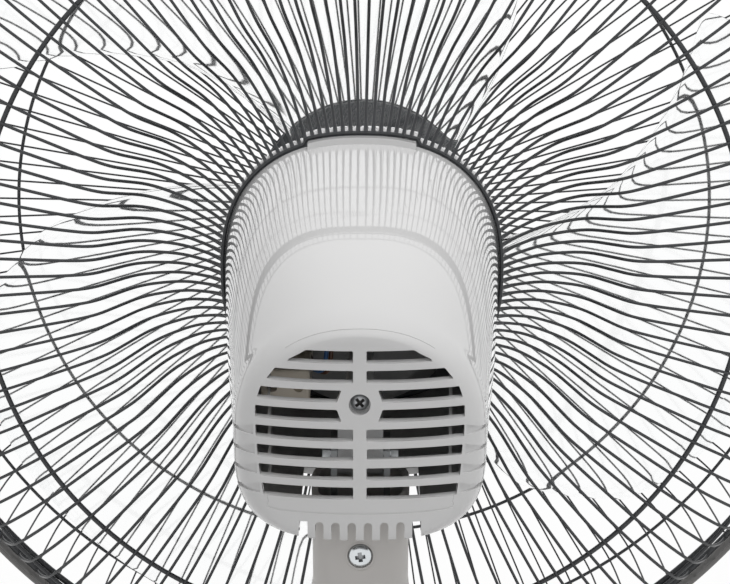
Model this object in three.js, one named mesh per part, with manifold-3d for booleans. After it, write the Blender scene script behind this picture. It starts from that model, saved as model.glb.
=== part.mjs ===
// Air circulator fan on a table stand: wire guards round a clear three-blade impeller, a slotted
// motor housing on a tilting and swinging neck, and a round weighted base with keys and a timer.
// Millimetres, +Z up. The fan blows towards -Y. The origin is on the floor under the base's centre.
import * as THREE from "three";
import { mergeVertices } from "three/addons/utils/BufferGeometryUtils.js";
import Module from "manifold-3d";

const wasm = await Module();
wasm.setup();

// ---------------------------------------------------------------- driving dimensions

const GAP = 0.3; // between pieces that touch
const WALL = 2.6; // moulded shell thickness
const AXIS_HEIGHT = 345; // fan axis above the floor
const HEAD_Y = -30; // plane of the rear guard's main ring
const SWING_Y = 70; // vertical axis that the neck swings about

// Head dimensions are in the head's own frame: x across, y to the rear, z up from the fan axis.
const WIRE = 1.9; // guard wire, across its flats
const RING = 2.6; // guard ring, along the wire
const GUARD_WIRES = 40; // every third wire of the real guard
const RIM_R = 226;
const MAIN_RING_R = 169;
const SIDE_RING_R = 209;
const FRONT_RING_R = 165;
const FRONT_EDGE_R = 215;
const BADGE_R = 55;

const RIM_HALF_WIDTH = 60; // the housing's open front end
const RIM_TOP = 58.6;
const RIM_BOTTOM = -62;
const RIM_POWER = 2.4; // squareness of the housing's front end
const HOUSING_FRONT = 6.5;
const HOUSING_BACK = 136; // where the rear rounding starts
const HOUSING_ROUND = 10;
const EDGE_SHARE = 0.25; // the rounding's height at top and bottom, as a share of its width at the sides
const FACE_BULGE = 10; // the rear face bows out by this much across its half width
const FACE_HALF_WIDTH = 50.5;
const HOUSING_BOTTOM = -74;
const LIP_HALF_WIDTH = 23.4; // raised lip on top of the housing's rim
const LIP_RISE = 2.2;

const SLOT_ROWS = 8;
const SLOT_PITCH = 8;
const SLOT_HEIGHT = 4.2;
const SLOT_DATUM = -20.2; // height of the fourth row
const SLOT_HALF_WIDTH = 41;
const SLOT_ARCH = 30.3;
const SPINE_HALF_WIDTH = 2.8;
const BACK_SCREW_Z = -15.8;
const GROOVE_DEPTH = 1.1; // steps in the housing's corners, in line with the four lowest rows

const COMB_SLOTS = 6;
const COMB_PITCH = 6.4;
const COMB_WIDTH = 3.3;
const COMB_TOP = -64.8;
const NOTCH_INNER = 20.7;
const NOTCH_OUTER = 24.2;
const OPENING_FRONT = 64; // the neck's opening in the housing's floor
const OPENING_BACK = 131;

const PLATE_FRONT = 3.9; // steel plate that the guard, motor and housing are fixed to
const PLATE_BACK = 6.1;
const PLATE_SCREW_R = 36.5;
const SHAFT_R = 4;
const BEARING_R = 7.1;
const SHIELD_BORE = 38;
const MOTOR_R = 42;
const STACK_FRONT = 30; // the stator stack, between the two end shields
const STACK_BACK = 54;
const REAR_SEAT = 70; // flat back of the motor's rear shield
const BLADES = 3;
const BLADE_TIP_R = 200;
const HUB_R = 34;
const HUB_FRONT = -84;
const HUB_BACK = -36;

const PIVOT_Y = 98; // tilt pin
const PIVOT_Z = -52;
const PIN_R = 3;
const LUG_R = 9;
const LUG_HALF = 9.2;
const CHEEK = 2.6; // fork cheek thickness
const FORK_FLOOR = -114;
const NECK_FRONT = 78;
const NECK_BACK = 122;
const NECK_TOP = -64;
const NECK_FOOT = -138.5;
const NECK_POWER = 4.5; // squareness of the neck and column
const NECK_SCREW_Z = -88;

const BASE_R = 150;
const BASE_TOP = 36;
const BASE_SIDES = 36;
const COLUMN_TOP = 205;
const COLUMN_SCREW_OFFSET = 35;
const PANEL_FRONT = [-121, 31.6]; // [y, z] of the sloping control panel's edges
const PANEL_BACK = [-50, 58.4];
const PANEL_HALF_WIDTH = 80;
const KEY_NAMES = ["off", "low", "medium", "high", "swing"];
const KEY_PITCH = 21.5;
const FIRST_KEY_X = -64;
const KEY_HALF = [9, 7.5];
const KNOB_X = 56;
const INLET_Z = 13.3;

// ---------------------------------------------------------------- materials

const plastic = (color, roughness) => new THREE.MeshStandardMaterial({ color, roughness, metalness: 0 });
const metal = (color, roughness) => new THREE.MeshStandardMaterial({ color, roughness, metalness: 1 });
const gloss = plastic(0xe2e2e4, 0.18);
const satin = plastic(0xd9d8d8, 0.45);
const guardGrey = plastic(0x3c3f42, 0.4);
const darkPlastic = plastic(0x35383b, 0.5);
const clearPlastic = new THREE.MeshStandardMaterial({
  color: 0xdbe8f0,
  roughness: 0.1,
  metalness: 0,
  transparent: true,
  opacity: 0.35,
});
const zinc = metal(0xbfc3c6, 0.3);
const steel = metal(0x8e9296, 0.4);
const castMetal = metal(0xb4b6b8, 0.5);
const copper = metal(0xb06a3c, 0.4);
const bronze = metal(0xa88350, 0.45);
const rubber = plastic(0x2a2a2b, 0.85);
const beige = plastic(0xd8cdb8, 0.5);
const blue = plastic(0x3f6fb0, 0.5);

// ---------------------------------------------------------------- solids

// A closed three.js geometry as a manifold-3d solid, with its faces turned outwards.
function solid(geometry) {
  geometry.deleteAttribute("normal");
  geometry.deleteAttribute("uv");
  const merged = mergeVertices(geometry, 1e-4);
  const p = merged.attributes.position.array;
  const corner = (i) => new THREE.Vector3().fromArray(p, 3 * i);
  const index = merged.index.array;
  const kept = [];
  let volume = 0;
  for (let i = 0; i < index.length; i += 3) {
    const [a, b, c] = index.slice(i, i + 3);
    if (a === b || b === c || a === c) continue;
    kept.push(a, b, c);
    volume += corner(a).dot(corner(b).cross(corner(c)));
  }
  if (volume < 0) kept.reverse();
  const mesh = new wasm.Mesh({
    numProp: 3,
    vertProperties: new Float32Array(p),
    triVerts: new Uint32Array(kept),
  });
  return new wasm.Manifold(mesh);
}

// A manifold-3d solid as a three.js geometry.
function geometryOf(body) {
  const mesh = body.getMesh();
  const position = new Float32Array(mesh.numVert * 3);
  for (let i = 0; i < mesh.numVert; i++) {
    position.set(mesh.vertProperties.subarray(i * mesh.numProp, i * mesh.numProp + 3), i * 3);
  }
  const geometry = new THREE.BufferGeometry();
  geometry.setAttribute("position", new THREE.BufferAttribute(position, 3));
  geometry.setIndex(new THREE.BufferAttribute(mesh.triVerts, 1));
  geometry.computeVertexNormals();
  return geometry;
}

const union = (...bodies) => bodies.reduce((a, b) => a.add(b));
const cut = (body, ...tools) => tools.reduce((a, b) => a.subtract(b), body);
const mix = THREE.MathUtils.lerp;
const smooth = (t) => THREE.MathUtils.smoothstep(t, 0, 1);
const radians = THREE.MathUtils.degToRad;
const power = (value, exponent) => Math.sign(value) * Math.abs(value) ** exponent;
const turns = (count, phase = 0) =>
  Array.from({ length: count }, (_, i) => (2 * Math.PI * (i + phase)) / count);
const polar = (r, angle) => [r * Math.cos(angle), r * Math.sin(angle)];

function box(x0, x1, y0, y1, z0, z1) {
  const g = new THREE.BoxGeometry(x1 - x0, y1 - y0, z1 - z0);
  return solid(g.translate((x0 + x1) / 2, (y0 + y1) / 2, (z0 + z1) / 2));
}

// A rod along one axis, between two coordinates on it, with its centre in the other two.
function rod(axis, radius, from, to, centre = [0, 0], sides = 12) {
  const g = new THREE.CylinderGeometry(radius, radius, to - from, sides);
  const middle = (from + to) / 2;
  if (axis === "x") return solid(g.rotateZ(Math.PI / 2).translate(middle, centre[0], centre[1]));
  if (axis === "y") return solid(g.translate(centre[0], middle, centre[1]));
  return solid(g.rotateX(Math.PI / 2).translate(centre[0], centre[1], middle));
}

// A profile of [radius, height] points turned about Y or Z.
function turned(axis, profile, sides = 24) {
  const points = profile.map(([r, h]) => new THREE.Vector2(r, h));
  const g = new THREE.LatheGeometry(points, sides);
  return solid(axis === "y" ? g : g.rotateX(Math.PI / 2));
}

const ringProfile = (r0, r1, h0, h1) => [
  [r0, h0],
  [r1, h0],
  [r1, h1],
  [r0, h1],
  [r0, h0],
];

// A flat outline of [x, z] points extruded along Y.
function slab(outline, y0, y1) {
  const face = new THREE.Shape(outline.map(([x, z]) => new THREE.Vector2(x, z)));
  const g = new THREE.ExtrudeGeometry(face, { depth: y1 - y0, bevelEnabled: false });
  return solid(g.rotateX(Math.PI / 2).translate(0, y1, 0));
}

function meshOf(position, index) {
  const g = new THREE.BufferGeometry();
  g.setAttribute("position", new THREE.BufferAttribute(new Float32Array(position), 3));
  return g.setIndex(index);
}

// Rings of equal point count joined into one closed skin. Each end is closed in strips, which run
// straight across where the ring is symmetric about its middle.
function loft(rings) {
  const count = rings[0].length;
  const position = rings.flat().flatMap((p) => [p.x, p.y, p.z]);
  const index = [];
  for (let k = 0; k + 1 < rings.length; k++) {
    for (let i = 0; i < count; i++) {
      const j = (i + 1) % count;
      const [a, b, c, d] = [k * count + i, k * count + j, (k + 1) * count + j, (k + 1) * count + i];
      index.push(a, b, c, a, c, d);
    }
  }
  const end = (rings.length - 1) * count;
  for (let i = 0; i + 1 < count / 2; i++) {
    const [a, b, c, d] = [i, i + 1, count - 2 - i, count - 1 - i];
    index.push(a, d, c, ...(b === c ? [] : [a, c, b]));
    index.push(end + a, end + c, end + d, ...(b === c ? [] : [end + a, end + b, end + c]));
  }
  return solid(meshOf(position, index));
}

// Distance from the centre to a superellipse, in the direction of an angle.
function superRadius(angle, halfWidth, halfHeight, exponent) {
  const across = Math.abs(Math.cos(angle) / halfWidth) ** exponent;
  const up = Math.abs(Math.sin(angle) / halfHeight) ** exponent;
  return (across + up) ** (-1 / exponent);
}

// A level superellipse ring of points round a centre on X = 0.
function levelRing(z, halfX, centreY, halfY, exponent, sides) {
  return turns(sides, 0.5).map((a) => {
    const x = halfX * power(Math.cos(a), 2 / exponent);
    return new THREE.Vector3(x, centreY + halfY * power(Math.sin(a), 2 / exponent), z);
  });
}

// ---------------------------------------------------------------- motor housing

// The housing's section at a given depth: an arch above its widest line, squarer below it. Its top
// line falls all the way to the rear face. At the rear edge the sides turn in by a further amount.
function housingSection(depth, inset, turnIn) {
  const t = THREE.MathUtils.clamp((depth - HOUSING_FRONT) / (HOUSING_BACK - HOUSING_FRONT), 0, 1);
  const fall = Math.max(0, (depth - HOUSING_FRONT) / (HOUSING_BACK + HOUSING_ROUND - HOUSING_FRONT));
  return {
    half: mix(RIM_HALF_WIDTH, FACE_HALF_WIDTH, t ** 1.1) - inset - turnIn,
    top: RIM_TOP - 20 * fall - 24.6 * fall ** 4 - inset - EDGE_SHARE * turnIn,
    bottom: mix(RIM_BOTTOM, HOUSING_BOTTOM, smooth(3 * t)) + inset + EDGE_SHARE * turnIn,
    widest: -33 * t ** 3,
    archPower: mix(RIM_POWER, 2.2, t),
    floorPower: mix(RIM_POWER, 3.6, smooth(2 * t)),
  };
}

function sectionPoint({ half, top, bottom, widest, archPower, floorPower }, angle) {
  const up = Math.sin(angle) >= 0;
  const exponent = 2 / (up ? archPower : floorPower);
  const reach = up ? top - widest : widest - bottom;
  return [half * power(Math.cos(angle), exponent), widest + reach * power(Math.sin(angle), exponent)];
}

const faceDrop = (x) => FACE_BULGE * (x / FACE_HALF_WIDTH) ** 2;

function housingSkin(inset, frontEnd, sides) {
  const ring = (depth, turnIn, bulge) =>
    turns(sides, 0.5).map((angle) => {
      const [x, z] = sectionPoint(housingSection(depth, inset, turnIn), angle);
      return new THREE.Vector3(x, depth - bulge * faceDrop(x), z);
    });
  const barrel = [frontEnd, 34, 64, 92, 114].map((depth) => ring(depth, 0, 0));
  const rounding = HOUSING_ROUND - inset;
  const rounded = [0, 45, 90].map((turn) => {
    const turnIn = rounding * (1 - Math.cos(radians(turn)));
    return ring(HOUSING_BACK + rounding * Math.sin(radians(turn)), turnIn, 1);
  });
  return loft([...barrel, ...rounded]);
}

// Half-width of the slotted field at a height: an arch above the fourth row, a slight taper below.
function fieldHalfWidth(z) {
  const up = z - SLOT_DATUM;
  if (up > 0) return SLOT_HALF_WIDTH * Math.sqrt(Math.max(0, 1 - (up / SLOT_ARCH) ** 2));
  return SLOT_HALF_WIDTH - 2.7 * (up / (4 * SLOT_PITCH)) ** 2;
}

// Where the slots stop short of the six-sided land round the back screw.
function landHalfWidth(z) {
  const away = Math.abs(z - (SLOT_DATUM + SLOT_PITCH / 2));
  return away > SLOT_PITCH ? SPINE_HALF_WIDTH : 9.9 - 0.42 * away;
}

function ventSlots() {
  const slots = [];
  for (let row = 0; row < SLOT_ROWS; row++) {
    const middle = SLOT_DATUM + (3 - row) * SLOT_PITCH;
    const [low, high] = [middle - SLOT_HEIGHT / 2, middle + SLOT_HEIGHT / 2];
    for (const side of [-1, 1]) {
      const outline = [
        [side * landHalfWidth(low), low],
        [side * fieldHalfWidth(low), low],
        [side * fieldHalfWidth(high), high],
        [side * landHalfWidth(high), high],
      ];
      slots.push(slab(outline, HOUSING_BACK - 10, HOUSING_BACK + 24));
    }
  }
  return slots;
}

// Steps that carry the four lowest rows on round the housing's corners, and narrow as they go.
function sideGrooves() {
  const back = HOUSING_BACK + 24;
  const wedges = [4, 5, 6, 7].flatMap((row) => {
    const middle = SLOT_DATUM + (3 - row) * SLOT_PITCH;
    const low = middle - SLOT_HEIGHT / 2;
    const start = fieldHalfWidth(middle) + 1.2;
    return [-1, 1].map((side) => {
      const outline = [
        [side * start, low],
        [side * RIM_HALF_WIDTH, low],
        [side * FACE_HALF_WIDTH, low + SLOT_HEIGHT / 4],
        [side * start, low + SLOT_HEIGHT],
      ];
      return slab(outline, OPENING_BACK - 35, back);
    });
  });
  return cut(union(...wedges), housingSkin(GROOVE_DEPTH, HOUSING_FRONT - 3, 28));
}

function combSlots() {
  const r = COMB_WIDTH / 2;
  const [front, back] = [OPENING_BACK - 4, HOUSING_BACK + 20];
  return Array.from({ length: COMB_SLOTS }, (_, i) => {
    const x = (i - (COMB_SLOTS - 1) / 2) * COMB_PITCH;
    const arch = rod("y", r, front, back, [x, COMB_TOP - r], 8);
    return union(arch, box(x - r, x + r, front, back, HOUSING_BOTTOM - 9, COMB_TOP - r));
  });
}

// The raised lip on top of the rim.
function rimLip() {
  const steps = 6;
  const crown = Array.from({ length: steps + 1 }, (_, i) => {
    const x = LIP_HALF_WIDTH * (1 - (2 * i) / steps);
    const z = RIM_TOP * (1 - Math.abs(x / RIM_HALF_WIDTH) ** RIM_POWER) ** (1 / RIM_POWER);
    return [x, z + LIP_RISE];
  });
  const foot = RIM_TOP - 14;
  const outline = [[-LIP_HALF_WIDTH, foot], [LIP_HALF_WIDTH, foot], ...crown];
  return slab(outline, HOUSING_FRONT, HOUSING_FRONT + 4.5);
}

function rearHousing() {
  const below = HOUSING_BOTTOM - 9;
  const behind = HOUSING_BACK + 20;
  const outside = union(housingSkin(0, HOUSING_FRONT, 28), rimLip());
  const shell = outside.subtract(housingSkin(WALL, HOUSING_FRONT - 3, 24));
  const post = rod("y", 6.5, 106, HOUSING_BACK + HOUSING_ROUND - 1, [0, BACK_SCREW_Z], 12);
  const opening = box(-NOTCH_OUTER, NOTCH_OUTER, OPENING_FRONT, OPENING_BACK, below, -60);
  const notches = [-1, 1].map((side) => {
    const [x0, x1] = side < 0 ? [-NOTCH_OUTER, -NOTCH_INNER] : [NOTCH_INNER, NOTCH_OUTER];
    return box(x0, x1, OPENING_BACK - 2, behind, below, COMB_TOP);
  });
  const recess = rod("y", 4.3, HOUSING_BACK + 5, behind, [0, BACK_SCREW_Z], 12);
  const hole = rod("y", 2.3, 100, behind, [0, BACK_SCREW_Z], 8);
  const slots = [...ventSlots(), ...combSlots(), sideGrooves()];
  return cut(union(shell, post), ...slots, opening, ...notches, recess, hole);
}

// The front half of the housing: a shallow dish on the blades' side of the guard.
function frontCover() {
  const outline = (grow, y) =>
    turns(24).map((a) => {
      const r = superRadius(a, RIM_HALF_WIDTH + 3.2 + grow, RIM_TOP + 4 + grow, RIM_POWER);
      return new THREE.Vector3(r * Math.cos(a), y, r * Math.sin(a));
    });
  const rim = PLATE_FRONT - GAP;
  const outer = [outline(-1.2, rim), outline(0, 0), outline(0, -5), outline(-8, -16), outline(-34, -24)];
  const inner = [outline(-3.8, rim + 3), outline(-3.2, -5), outline(-10, -14), outline(-34, -21.2)];
  return cut(loft(outer), loft(inner), rod("y", 12, -40, 10));
}

// ---------------------------------------------------------------- wire guards

// A cage of radial wires welded to rings. Each station gives [radius, depth] at a wire's angle, and
// one with a ring joins the wires between itself and the next station. Wires are three-sided, with
// the ridge turned to the side that the sign of outward gives.
function wireCage(stations, outward) {
  const corners = [
    [-1, -1],
    [1, -1],
    [0, 1],
  ];
  const position = [];
  for (const angle of turns(GUARD_WIRES, 0.5)) {
    const path = stations.map((s) => new THREE.Vector2(...s.at(angle)));
    path.forEach((p, k) => {
      const before = path[Math.max(0, k - 1)];
      const after = path[Math.min(path.length - 1, k + 1)];
      const along = after.clone().sub(before).normalize();
      const normal = new THREE.Vector2(-along.y, along.x).multiplyScalar((outward * WIRE) / 2);
      for (const [side, up] of corners) {
        const [r, y] = [p.x + normal.x * up, p.y + normal.y * up];
        const [x, z] = polar(r, angle + (side * WIRE) / 2 / r);
        position.push(x, y, z);
      }
    });
  }
  const index = [];
  const quad = (a, b, c, d) => index.push(a, b, c, a, c, d);
  const at = (wire, k, corner) => ((wire % GUARD_WIRES) * stations.length + k) * 3 + corner;
  const last = stations.length - 1;
  for (let i = 0; i < GUARD_WIRES; i++) {
    const n = i + 1;
    for (let k = 0; k < last; k++) {
      quad(at(i, k, 0), at(i, k, 1), at(i, k + 1, 1), at(i, k + 1, 0));
      if (stations[k].ring) {
        quad(at(i, k, 1), at(n, k, 0), at(n, k + 1, 0), at(i, k + 1, 1));
        quad(at(i, k, 2), at(i, k + 1, 2), at(n, k + 1, 2), at(n, k, 2));
        quad(at(i, k, 1), at(i, k, 2), at(n, k, 2), at(n, k, 0));
        quad(at(i, k + 1, 1), at(n, k + 1, 0), at(n, k + 1, 2), at(i, k + 1, 2));
      } else {
        quad(at(i, k, 1), at(i, k, 2), at(i, k + 1, 2), at(i, k + 1, 1));
        quad(at(i, k, 2), at(i, k, 0), at(i, k + 1, 0), at(i, k + 1, 2));
      }
    }
    index.push(at(i, 0, 0), at(i, 0, 2), at(i, 0, 1));
    index.push(at(i, last, 0), at(i, last, 1), at(i, last, 2));
  }
  return solid(meshOf(position, index));
}

const station = (r, y, ring = false) => ({ at: () => [r, y], ring });
const ringStations = (r, y, slope) => [
  station(r - RING / 2, y - (slope * RING) / 2, true),
  station(r + RING / 2, y + (slope * RING) / 2),
];

// The hub ring follows the housing's rim, and steps out round its lip.
function hubRadius(angle) {
  const r = superRadius(angle, RIM_HALF_WIDTH + 1.4, RIM_TOP + 1.6, RIM_POWER);
  const beyond = Math.abs(r * Math.cos(angle)) - LIP_HALF_WIDTH;
  return Math.sin(angle) > 0 ? r + LIP_RISE * (1 - smooth(beyond / 1.5)) : r;
}

function rearGuard() {
  return wireCage(
    [
      { at: (a) => [hubRadius(a) - 0.6, 5.2], ring: true },
      { at: (a) => [hubRadius(a) + 1.4, 4.8], ring: false },
      station(80, -16),
      station(101, -18.5),
      station(120, 0.5),
      ...ringStations(MAIN_RING_R, 0, -0.05),
      ...ringStations(SIDE_RING_R, -15, -0.6),
      station(RIM_R - 0.6, -52, true),
      station(RIM_R - 0.2, -55),
    ],
    1,
  );
}

function frontGuard() {
  return wireCage(
    [
      station(49, -112.4, true),
      station(52, -112.3),
      ...ringStations(FRONT_RING_R, -110, 0.05),
      ...ringStations(FRONT_EDGE_R, -105.5, 0.5),
      station(RIM_R - 0.3, -65, true),
      station(RIM_R - 0.2, -62),
    ],
    -1,
  );
}

const plateScrewPlaces = () => turns(4, 0.5).map((a) => polar(PLATE_SCREW_R, a));

function guardPlate() {
  const outline = turns(GUARD_WIRES, 0.5).map((a) => polar(hubRadius(a) - 1.2, a));
  const holes = plateScrewPlaces().map((p) => rod("y", 2.4, 0, 10, p, 6));
  return cut(slab(outline, PLATE_FRONT, PLATE_BACK), rod("y", 24, 0, 10, [0, 0], 16), ...holes);
}

// The hoop that clamps both guards' rims, split at the bottom between two screwed ears.
function rimBand() {
  const [inner, outer] = [RIM_R + 1.9, RIM_R + 4.6];
  const profile = [
    [inner, -67],
    [outer, -65.5],
    [outer, -51.5],
    [inner, -50],
    [inner, -67],
  ];
  const ears = box(-7, 7, -66, -51, -outer - 7.4, -inner - 0.8);
  const split = box(-1.5, 1.5, -80, -40, -outer - 20, -inner + 4);
  const hoop = union(turned("y", profile, GUARD_WIRES), ears);
  return cut(hoop, split, rod("x", 2.3, -20, 20, earAxis, 8));
}

const earAxis = [-58.5, -RIM_R - 8.2];

function badge() {
  const profile = [
    [0, -119],
    [34, -118.4],
    [51, -116.2],
    [BADGE_R, -113.9],
    [BADGE_R - 3, -113.9],
    [48, -114.6],
    [0, -116],
  ];
  return turned("y", profile);
}

// The badge's backing disc nips the guard's inner ring from behind.
function badgeBacking() {
  const profile = [
    [0, -113.6],
    [46.5, -113.6],
    [46.5, -111],
    [52, -111],
    [52, -109],
    [0, -109],
  ];
  return turned("y", profile);
}

// ---------------------------------------------------------------- impeller

// Edges of a blade, seen from behind and counted anticlockwise, as [radius, degrees].
const TRAILING_EDGE = [
  [HUB_R - 2, 34],
  [65, 43],
  [122, 55],
  [150, 61],
  [BLADE_TIP_R, 79],
];
const LEADING_EDGE = [
  [HUB_R - 2, 118],
  [75, 123],
  [114, 131],
  [151, 143],
  [BLADE_TIP_R, 158],
];

function edgeAngle(edge, r) {
  const above = edge.findIndex(([radius]) => r <= radius);
  const k = above < 0 ? edge.length - 1 : Math.max(1, above);
  const [[r0, a0], [r1, a1]] = [edge[k - 1], edge[k]];
  return mix(a0, a1, (r - r0) / (r1 - r0));
}

// A point on one face of a blade. Span runs from the hub to the tip, and chord from the trailing
// edge, which is the nearer to the front, to the leading edge.
function bladePoint(index, span, chord, side) {
  const tip = BLADE_TIP_R - 16 * Math.abs(2 * chord - 1) ** 5;
  const r = mix(HUB_R - 2, tip, span);
  const degrees = mix(edgeAngle(TRAILING_EDGE, r), edgeAngle(LEADING_EDGE, r), chord);
  const [x, z] = polar(r, radians(degrees + (360 / BLADES) * index));
  const pitch = mix(40, 24, span) * (chord - 0.5);
  const camber = 5 * Math.sin(Math.PI * chord) * span;
  return new THREE.Vector3(-x, -60 + pitch - camber + side * mix(1.5, 0.9, span), z);
}

function blade(index) {
  const cells = 5;
  const steps = Array.from({ length: cells + 1 }, (_, i) => i / cells);
  const rings = steps.map((span) => [
    ...steps.map((chord) => bladePoint(index, span, chord, 1)),
    ...steps.toReversed().map((chord) => bladePoint(index, span, chord, -1)),
  ]);
  return loft(rings);
}

function impeller() {
  const bore = SHAFT_R + GAP;
  const hub = [
    [bore, HUB_BACK],
    [9, HUB_BACK],
    [9, -78],
    [HUB_R - 3, -76],
    [HUB_R - 3, HUB_BACK],
    [HUB_R, HUB_BACK],
    [HUB_R, -78],
    [HUB_R - 3, -82],
    [bore, HUB_FRONT],
    [bore, HUB_BACK],
  ];
  const blades = union(...turns(BLADES).map((_, i) => blade(i)));
  return turned("y", hub, 18).add(blades.subtract(rod("y", HUB_R - 1.4, -100, -20, [0, 0], 18)));
}

function bladeNut() {
  const bore = SHAFT_R + GAP;
  const profile = [
    [0, -103],
    [14, -100.5],
    [21, -93],
    [23, HUB_FRONT - GAP],
    [bore, HUB_FRONT - GAP],
    [bore, -97],
    [0, -97],
  ];
  return turned("y", profile, 18);
}

// ---------------------------------------------------------------- motor

const bearingBore = BEARING_R + GAP;

// The front shield's rim is a raised seat that bolts against the guard plate.
function frontShield() {
  const profile = [
    [bearingBore, 9],
    [12, 9],
    [14, 13],
    [30, 13],
    [31, PLATE_BACK + GAP],
    [MOTOR_R, PLATE_BACK + GAP],
    [MOTOR_R, STACK_FRONT],
    [SHIELD_BORE, STACK_FRONT],
    [SHIELD_BORE, 20],
    [bearingBore, 20],
    [bearingBore, 9],
  ];
  const holes = plateScrewPlaces().map((p) => rod("y", 2.3, 0, 17, p, 8));
  return cut(turned("y", profile, 20), ...holes);
}

// The rear shield also carries the housing screw's post and the tilt lug's seat.
function rearShield() {
  const profile = [
    [bearingBore, 74],
    [13, 74],
    [13, REAR_SEAT],
    [35, REAR_SEAT],
    [MOTOR_R, 63],
    [MOTOR_R, STACK_BACK],
    [SHIELD_BORE, STACK_BACK],
    [SHIELD_BORE, 64],
    [bearingBore, 64],
    [bearingBore, 74],
  ];
  const windows = [0, 90, 180].map((d) => rod("y", 6.5, 50, 80, polar(25, radians(d)), 6));
  const post = rod("y", 5, 65, 104, [0, BACK_SCREW_Z], 10);
  const seat = box(-LUG_HALF, LUG_HALF, 65, 84, -46, -34);
  const body = union(cut(turned("y", profile, 20), ...windows), post, seat);
  return body.subtract(rod("y", 2.3, 84, 120, [0, BACK_SCREW_Z], 8));
}

// One end of the stator's winding, a rounded ring of wire.
const winding = (front, back) =>
  turned(
    "y",
    [
      [23, front],
      [34, front],
      [36, (front + back) / 2],
      [33, back],
      [24, back],
      [23, front],
    ],
    16,
  );

const pivotAxis = [PIVOT_Y, PIVOT_Z];

function tiltLug() {
  const body = union(
    box(-LUG_HALF, LUG_HALF, PIVOT_Y - LUG_R, PIVOT_Y + LUG_R, PIVOT_Z, -34),
    rod("x", LUG_R, -LUG_HALF, LUG_HALF, pivotAxis, 16),
    box(-LUG_HALF, LUG_HALF, 84 + GAP, PIVOT_Y, -46, -34),
  );
  return body.subtract(rod("x", PIN_R + GAP, -20, 20, pivotAxis));
}

// Leads from the rear winding, out through a window in the shield, to the run capacitor.
function motorLeads() {
  const route = new THREE.CatmullRomCurve3([
    new THREE.Vector3(25, 64.6, 0),
    new THREE.Vector3(25, 76, -2),
    new THREE.Vector3(21, 100, -5),
    new THREE.Vector3(17, 113, 3),
    new THREE.Vector3(12, 108, 15),
    new THREE.Vector3(8, 94, 23),
    new THREE.Vector3(8, 86.4, 24),
  ]);
  const section = new THREE.Shape(turns(8).map((a) => new THREE.Vector2(...polar(1.9, a))));
  return solid(new THREE.ExtrudeGeometry(section, { steps: 11, extrudePath: route }));
}

// A pan-head screw along Y, with its head's seat at zero and its shank towards -Y.
function screw(headR, headH, shankR, length) {
  const profile = [
    [0, -length],
    [shankR, -length],
    [shankR, 0],
    [headR, 0],
    [headR * 0.8, headH],
    [0, headH],
  ];
  return turned("y", profile, 8);
}

// ---------------------------------------------------------------- neck

// The neck is narrowest a little below the housing, and flares to the column at its foot.
const NECK_STATIONS = [
  { z: NECK_FOOT, half: 27.5, front: 70.5, back: 129.5 },
  { z: -122, half: 21, front: 75.5, back: 124.5 },
  { z: -110, half: 18.4, front: 77.5, back: 122.4 },
  { z: -98, half: 18.4, front: NECK_FRONT, back: NECK_BACK },
  { z: NECK_TOP, half: 19.6, front: NECK_FRONT, back: NECK_BACK },
];

function neckSkin(inset) {
  const rings = NECK_STATIONS.map(({ z, half, front, back }) => {
    const halfDepth = (back - front) / 2 - inset;
    return levelRing(z, half - inset, (front + back) / 2, halfDepth, NECK_POWER, 16);
  });
  if (inset) {
    rings.unshift(rings[0].map((p) => p.clone().setZ(NECK_FOOT - 10)));
    rings.push(rings.at(-1).map((p) => p.clone().setZ(NECK_TOP + 10)));
  }
  return loft(rings);
}

const neckParting = (NECK_FRONT + NECK_BACK) / 2;
const neckRod = (radius, from, to) => rod("y", radius, from, to, [0, NECK_SCREW_Z], 8);

function neckFront() {
  const half = box(-40, 40, 40, neckParting - GAP / 2, -160, -40);
  const shell = cut(neckSkin(0), neckSkin(WALL)).intersect(half);
  return cut(union(shell, neckRod(4.6, NECK_FRONT + 1, 86)), neckRod(1.9, NECK_FRONT + 3, 90));
}

function neckRear() {
  const half = box(-40, 40, neckParting + GAP / 2, 160, -160, -40);
  const shell = cut(neckSkin(0), neckSkin(WALL)).intersect(half);
  const boss = neckRod(6.4, 113.6, NECK_BACK - 1);
  return cut(union(shell, boss), neckRod(2, 84, 140), neckRod(5.3, NECK_BACK - 1.2, 140));
}

// A steel fork between the swing shaft and the tilt pin, inside the neck.
function tiltFork() {
  const [inner, outer] = [LUG_HALF + GAP, LUG_HALF + GAP + CHEEK];
  const [front, back] = [PIVOT_Y - LUG_R, PIVOT_Y + LUG_R];
  const cheek = (x0, x1) => {
    const eye = rod("x", LUG_R, x0, x1, pivotAxis, 16);
    return union(box(x0, x1, front, back, FORK_FLOOR + 1, PIVOT_Z), eye);
  };
  const web = box(-outer, outer, front, back, FORK_FLOOR, FORK_FLOOR + 3);
  const pinHole = rod("x", PIN_R + GAP, -30, 30, pivotAxis);
  const shaftHole = rod("z", 6, FORK_FLOOR - 9, FORK_FLOOR + 9, [0, SWING_Y - HEAD_Y]);
  return cut(union(cheek(-outer, -inner), cheek(inner, outer), web), pinHole, shaftHole);
}

const forkSide = LUG_HALF + GAP + CHEEK + GAP;

function tiltPin() {
  const shank = rod("x", PIN_R, -forkSide - 2, forkSide + 2.6, pivotAxis);
  return union(shank, rod("x", 5.2, -forkSide - 3, -forkSide, pivotAxis, 6));
}

function tiltNut() {
  const hexagon = rod("x", 5.4, forkSide, forkSide + 3.2, pivotAxis, 6);
  return hexagon.subtract(rod("x", PIN_R + GAP, 0, 30, pivotAxis));
}

// ---------------------------------------------------------------- stand

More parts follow.
